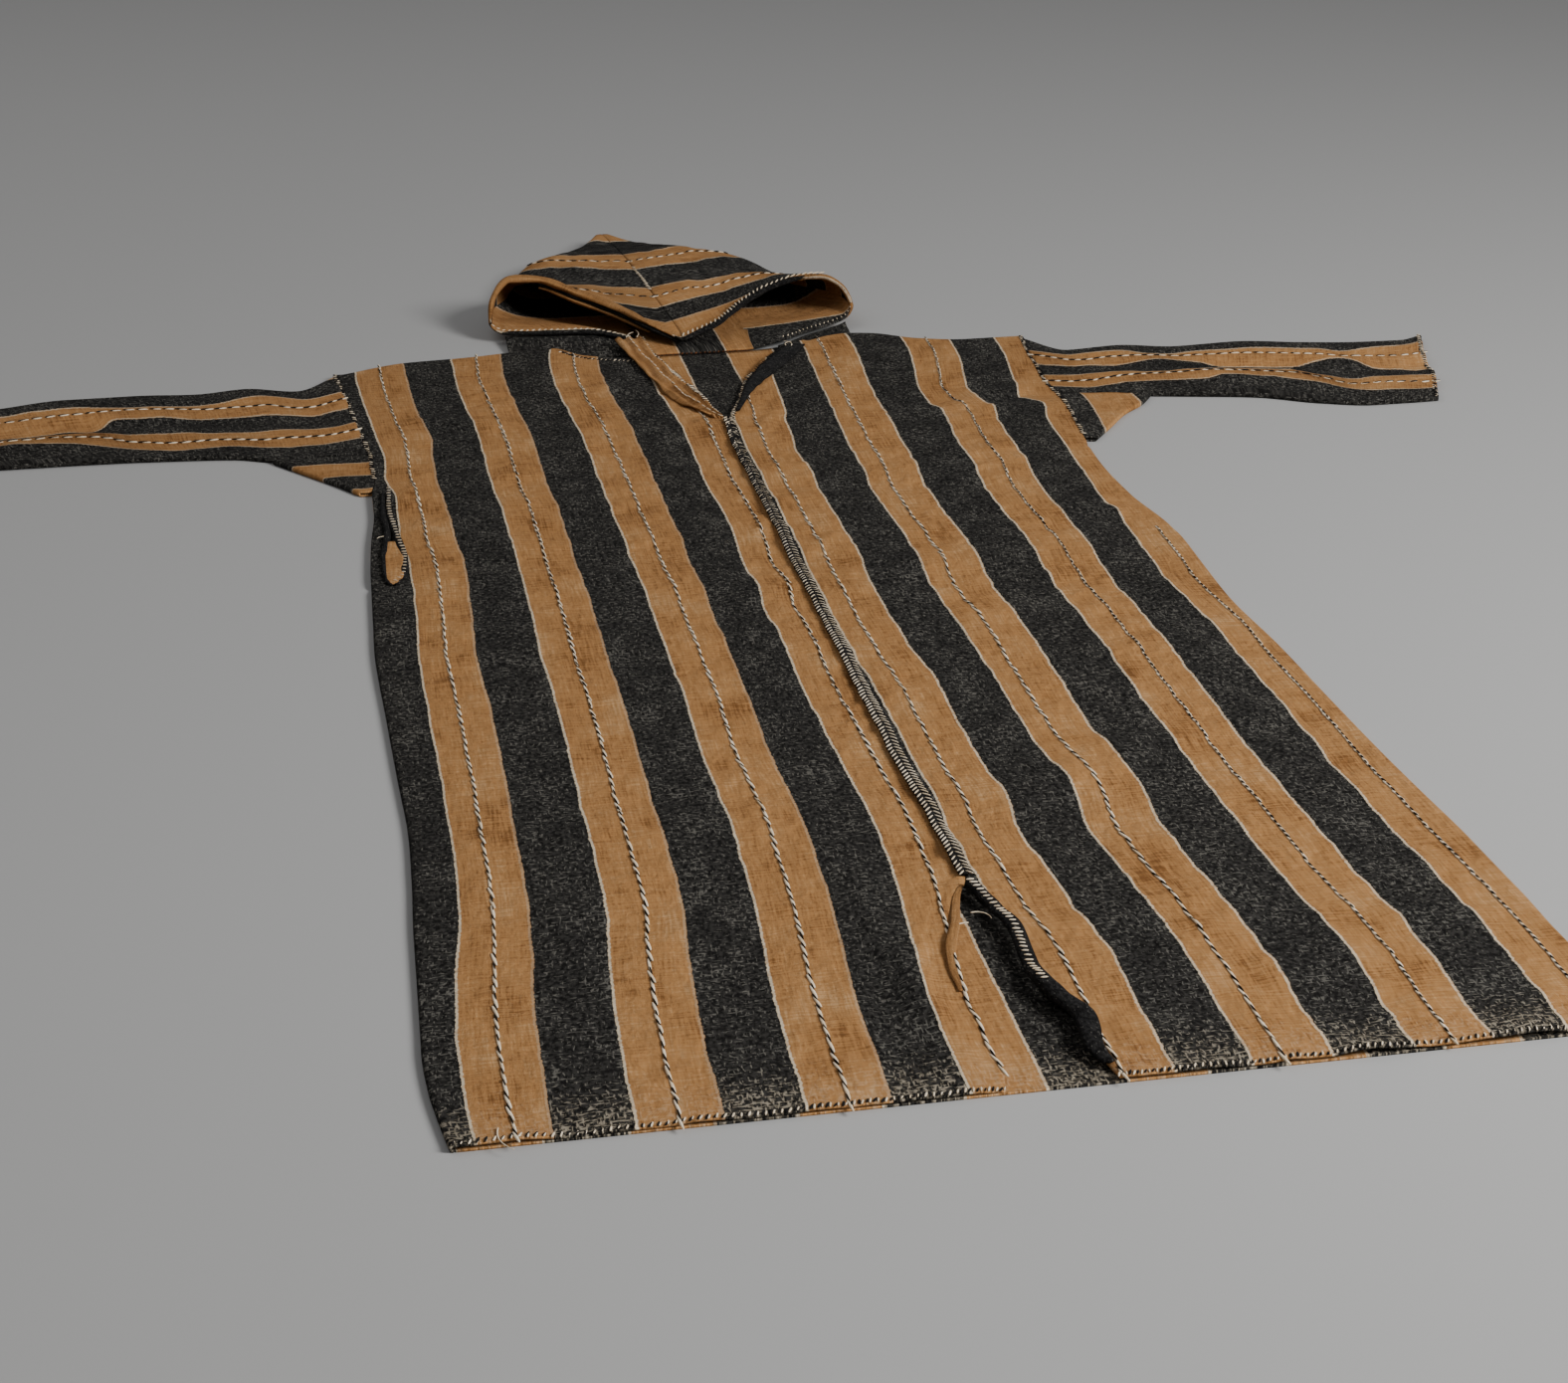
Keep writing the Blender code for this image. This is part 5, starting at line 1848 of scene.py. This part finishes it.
@dataclass
class Overcasting:
    """Hand stitches over the robe's free edges and seams."""

    needle: Needle
    finishes: Finishes
    edge: StitchRun = StitchRun(0.0044, 0.0042, 0.0012, 0.0010, slant=70, unevenness=0.4, seed=11)
    between: StitchRun = StitchRun(0.0044, 0.0046, 0.0014, 0.0013, slant=64, start=0.0022, unevenness=0.4, seed=15)
    lip: StitchRun = StitchRun(0.0058, 0.0085, 0.0016, 0.0013, slant=48, unevenness=0.25, seed=12)
    seam: StitchRun = StitchRun(0.0058, 0.0046, 0.0011, 0.0010, slant=52, unevenness=0.35, seed=13)
    whip: StitchRun = StitchRun(0.0070, 0.0060, 0.0014, 0.0012, slant=40, unevenness=0.3, seed=16)

    def _both(self, name: str, lines: Sequence[Guide]) -> None:
        """Sews cream stitches over an edge, with black ones between them."""
        self.needle.sew(f"{name}_stitches", lines, self.edge, self.finishes.cream)
        self.needle.sew(f"{name}_black_stitches", lines, self.between, self.finishes.black)

    def build(
        self, left: FrontPanel, right: FrontPanel, sleeves: Sequence[Sleeve], hood: Sequence[HoodHalf], trim: NeckTrim
    ) -> None:
        """Sews every edge.

        Args:
            left: The left front.
            right: The right front.
            sleeves: Both sleeves.
            hood: Both halves of the hood.
            trim: The neck's strip and band.
        """
        cream, black = self.finishes.cream, self.finishes.black
        y = np.linspace(1.035, 1.328, 90)
        for side in Side:
            x = curved(BODY, side.word, y) + side.value * ARMHOLE_GAP / 2
            line = [upright(grid(x, y, EDGE_HEIGHT + 0.0004))]
            self.needle.sew(f"armhole_{side.word}_stitches", line, self.seam, cream)
            self.needle.sew(f"armhole_{side.word}_black", line, self.between, black)
        self._both("cuff", [sleeve.cuff() for sleeve in sleeves])
        self._both("hem", [left.hem(), right.hem()])
        self.needle.sew("slit_left_stitches", [left.edge(0.105, 0.155)], self.edge, self.finishes.rust)
        self._both("neckline", [left.neckline(0.0, 0.30)])
        opening = [right.edge(1.130, 1.262)]
        self.needle.sew("opening_black_stitches", opening, self.lip, black)
        self.needle.sew("opening_stitches", opening, self.between, cream)
        above = np.array([0.0, -0.0012, 0.0040])
        points, away = hood[1].lip(8, 13)
        self.needle.sew("hood_lip_stitches", [(points + above, away)], self.lip, cream)
        low_lips = [(points + above * 0.8, away) for points, away in (half.lip(2, 6) for half in hood)]
        self.needle.sew("hood_lower_lip_stitches", low_lips, self.seam, cream)
        self.needle.sew("hood_seam_stitches", [hood[0].seam(1.462, 1.558)], self.whip, cream)
        inner = upright(trim.strip[:, -1] + np.array([-0.0018, 0.0, 0.0003]))
        second = upright(trim.strip[:, 9] + np.array([0.0, 0.0, 0.0003]))
        self._both("strip_edge", [inner])
        long = StitchRun(0.0090, 0.0080, 0.0013, 0.0009, slant=3, seed=14)
        self.needle.sew("strip_line_stitches", [second], long, cream)
        bound = upright(trim.band[:, 0] + np.array([0.0010, 0.0, 0.0003]))
        self.needle.sew("neck_band_stitches", [bound], self.edge, black)
        back_neck = upright(grid(np.linspace(-0.050, 0.045, 30), 1.3405, 0.0030))
        self.needle.sew("back_neck_stitches", [back_neck], self.edge, self.finishes.rust)


class SlitRow(NamedTuple):
    """The pocket slit's two lips at a height up the plan."""

    y: float
    inner: float
    outer: float


POCKET_SLIT = rows_of(
    SlitRow,
    (0.786, -0.3305, -0.334), (0.8, -0.3238, -0.3372), (0.845, -0.32, -0.3366), (0.872, -0.3225, -0.333),
    (0.905, -0.3245, -0.3305), (0.94, -0.3265, -0.3318), (0.995, -0.324, -0.329),
)


@dataclass
class PocketSlit:
    """The hand slit in the left side: its two dark lips, overcast, with brown cloth inside."""

    layout: Layout
    finishes: Finishes
    needle: Needle
    lip_width: float = 0.0060
    raise_by: float = 0.0016
    facing_top: float = 0.876
    flat: tuple[float, float] = (0.018, 0.088)
    area: float = 0.00125
    stitch: StitchRun = StitchRun(0.0062, 0.0040, 0.0009, 0.0008, slant=80, unevenness=0.3, lift=0.0040, seed=18)

    def _lip(self, column: str) -> Guide:
        """One lip's line."""
        y = np.linspace(POCKET_SLIT[0].y, POCKET_SLIT[-1].y, 60)
        x = curved(POCKET_SLIT, column, y)
        return upright(grid(x, y, front_height(x, y) + self.raise_by))

    def build(self, lips: RolledLip) -> None:
        """Makes the lips, the facing and the stitches.

        Args:
            lips: The maker of rolled edges.
        """
        y = np.linspace(POCKET_SLIT[0].y + 0.002, self.facing_top, 40)[:, None]
        share = np.linspace(0, 1, 9)[None, :]
        low, high = curved(POCKET_SLIT, "outer", y), curved(POCKET_SLIT, "inner", y)
        x = low + (high - low) * share
        soft = 0.0005 * rumple(x, y, 0.006, 0.012, 91)
        z = front_height(x, y) + SEAM_GAP + CLOTH + 0.0006 + soft
        cloth = grid(0.012 + 0.012 * share, y)
        piece = self.layout.sheet("pocket_slit_facing", grid(x, y, z), cloth, self.finishes.facing)
        report(piece, Slot.STRIPED)
        inner, outer = self._lip("inner"), self._lip("outer")
        lips.build("pocket_lip_inner", inner, self.finishes.dark, Slot.DARK, self.lip_width, 92)
        lips.build("pocket_lip_outer", outer, self.finishes.dark, Slot.DARK, self.lip_width * 0.9, 93)
        self.needle.sew("pocket_slit_stitches", [inner], self.stitch, self.finishes.cream)


class ThreadEnd(NamedTuple):
    """A loose end of thread: where it starts, its direction in degrees from +X, length and curl."""

    x: float
    y: float
    z: float
    direction: float
    length: float
    curl: float


THREAD_ENDS = rows_of(
    ThreadEnd,
    (-0.322, 0.012, 0.006, 250, 0.026, 1.2), (-0.02, 0.178, 0.0075, 160, 0.02, 2.2),
    (-0.018, 0.19, 0.0075, 20, 0.018, -2), (-0.33, 0.885, 0.007, 80, 0.016, 3),
    (-0.07, 1.368, 0.014, 70, 0.022, 1.6), (-0.066, 1.37, 0.014, 110, 0.018, -1.4),
    (-0.06, 1.368, 0.014, 60, 0.024, 0.8), (0.088, 1.33, 0.0085, 60, 0.02, 1.5),
    (0.084, 1.332, 0.0085, 110, 0.016, -1.8),
)


@dataclass
class LooseThreads:
    """Frayed ends of thread at the hem, the slit, the pocket and the neck."""

    layout: Layout
    yarn: Material
    radius: float = 0.0005
    steps: int = 14
    sides: int = 6

    def build(self) -> None:
        """Makes every end in one piece."""
        points, faces = [], []
        for end in THREAD_ENDS:
            along = np.linspace(0, 1, self.steps)
            heading = math.radians(end.direction) + end.curl * along
            stride = end.length / self.steps
            x = end.x + np.cumsum(np.cos(heading)) * stride
            y = end.y + np.cumsum(np.sin(heading)) * stride
            base = sum(len(block) for block in points)
            angle = ring(self.sides)
            thin = (self.radius * (1 - 0.6 * along))[:, None]
            ring_x = x[:, None] - np.sin(heading)[:, None] * thin * np.cos(angle)
            ring_y = y[:, None] + np.cos(heading)[:, None] * thin * np.cos(angle)
            ring_z = end.z + thin * np.sin(angle)
            points.append(grid(ring_x, ring_y, ring_z).reshape(-1, 3))
            n = self.sides
            for i in range(self.steps - 1):
                for j in range(n):
                    k = (j + 1) % n
                    faces.append([base + i * n + j, base + i * n + k, base + (i + 1) * n + k, base + (i + 1) * n + j])
            faces.append([base + j for j in reversed(range(n))])
            faces.append([base + (self.steps - 1) * n + j for j in range(n)])
        report(self.layout.mesh("loose_threads", np.concatenate(points), faces, self.yarn), Slot.YARN)


@dataclass
class Studio:
    """A plain pale floor, soft light, and the camera."""

    layout: Layout
    floor_size: float = 16.0
    camera_place: tuple[float, float, float] = (-0.4047, -1.2550, 0.8390)
    turn: float = 10.6453
    pitch: float = 24.5907
    lens: float = 63.96
    key_light: tuple = ((1.9, -1.7, 1.7), 1.0, 112.0)  # place, size in metres, power in watts
    fill_light: tuple = ((-1.6, 1.2, 2.8), 3.0, 22.0)
    sky: Colour = (0.80, 0.80, 0.82, 1.0)
    sky_strength: float = 0.26

    def build(self) -> None:
        """Makes the floor, the lights and the camera."""
        half = self.floor_size / 2
        corners = [(-half, -half, 0), (half, -half, 0), (half, half, 0), (-half, half, 0)]
        mesh = bpy.data.meshes.new("studio_floor")
        mesh.from_pydata(corners, [], [[0, 1, 2, 3]])
        mesh.materials.append(StudioFloor().build())
        put("studio_floor", mesh)
        self._light("key", *self.key_light)
        self._light("fill", *self.fill_light)
        world = bpy.data.worlds.new("studio")
        world.use_nodes = True
        background = world.node_tree.nodes["Background"]
        background.inputs["Color"].default_value = self.sky
        background.inputs["Strength"].default_value = self.sky_strength
        bpy.context.scene.world = world
        lens = bpy.data.cameras.new("camera")
        lens.lens = self.lens
        lens.sensor_width = 36.0
        camera = put("camera", lens)
        camera.location = Vector(self.camera_place) + Vector(self.layout.shift)
        camera.rotation_euler = (math.radians(90 - self.pitch), 0.0, -math.radians(self.turn))
        bpy.context.scene.camera = camera

    def _light(self, name: str, place: tuple[float, float, float], size: float, power: float) -> None:
        """Adds a large soft light that faces the robe."""
        data = bpy.data.lights.new(name, "AREA")
        data.size = size
        data.energy = power
        light = put(name, data)
        light.location = place
        light.rotation_euler = (-Vector(place)).to_track_quat("-Z", "Y").to_euler()


SLIT_ROLL = (0.100, 0.228)  # foot and top of the turned edge left of the hem slit
SLIT_ROLL_LIFT = 0.0006


def main() -> None:
    """Builds the robe and its studio."""
    logging.basicConfig(level=logging.INFO, format="%(message)s")
    layout, finishes = Layout(), Finishes()
    Studio(layout).build()
    needle = Needle(layout)
    BackPanel(layout, finishes.back).build()
    left = FrontPanel(Side.LEFT, layout, finishes.front_left)
    right = FrontPanel(Side.RIGHT, layout, finishes.front_right)
    left.build()
    right.build()
    sleeves = [
        Sleeve(Side.LEFT, layout, finishes.sleeves, SLEEVE_LEFT, BANDS_LEFT),
        Sleeve(
            Side.RIGHT, layout, finishes.sleeves, SLEEVE_RIGHT, BANDS_RIGHT, flat=(0.402, 0.385), area=0.1221
        ),
    ]
    for sleeve in sleeves:
        sleeve.build()
    Gusset(Side.LEFT, layout, finishes.sleeves, GUSSET_LEFT, True, 1.045, area=0.0094).build()
    Gusset(Side.RIGHT, layout, finishes.sleeves, GUSSET_RIGHT, False, 0.022, area=0.0124).build()
    hood = [
        HoodHalf(Side.LEFT, layout, finishes.hood, MOUTH_LEFT),
        HoodHalf(Side.RIGHT, layout, finishes.hood, MOUTH_RIGHT),
    ]
    for half in hood:
        half.build()
    NeckHollow(layout, finishes.hood, MOUTH_LEFT, Side.LEFT).build()
    NeckHollow(layout, finishes.hood, MOUTH_RIGHT, Side.RIGHT, flat=(0.076, 0.042), area=0.0021).build()
    lips = RolledLip(layout)
    for row in LIPS:
        cloth, slot = (finishes.dark, Slot.DARK) if row.dark else (finishes.hood, Slot.STRIPED)
        guide = hood[row.half].lip(row.first, row.last)
        lips.build(row.name, guide, cloth, slot, row.width, row.seed, drop=row.drop)
    trim = NeckTrim(layout, finishes)
    trim.build()
    points, away = left.edge(*SLIT_ROLL)
    guide = (points + np.array([0.0, 0.0, SLIT_ROLL_LIFT]), away)
    lips.build("slit_roll_left", guide, finishes.facing, Slot.STRIPED, 0.0062, 87)
    PocketSlit(layout, finishes, needle).build(lips)
    CentreSeam(layout, finishes, needle).build()
    SlitSelvedge(layout, finishes, needle).build()
    TwistedFloats(needle, finishes).build(left, right, sleeves, hood)
    Overcasting(needle, finishes).build(left, right, sleeves, hood, trim)
    LooseThreads(layout, finishes.cream).build()


if __name__ == "__main__":
    main()
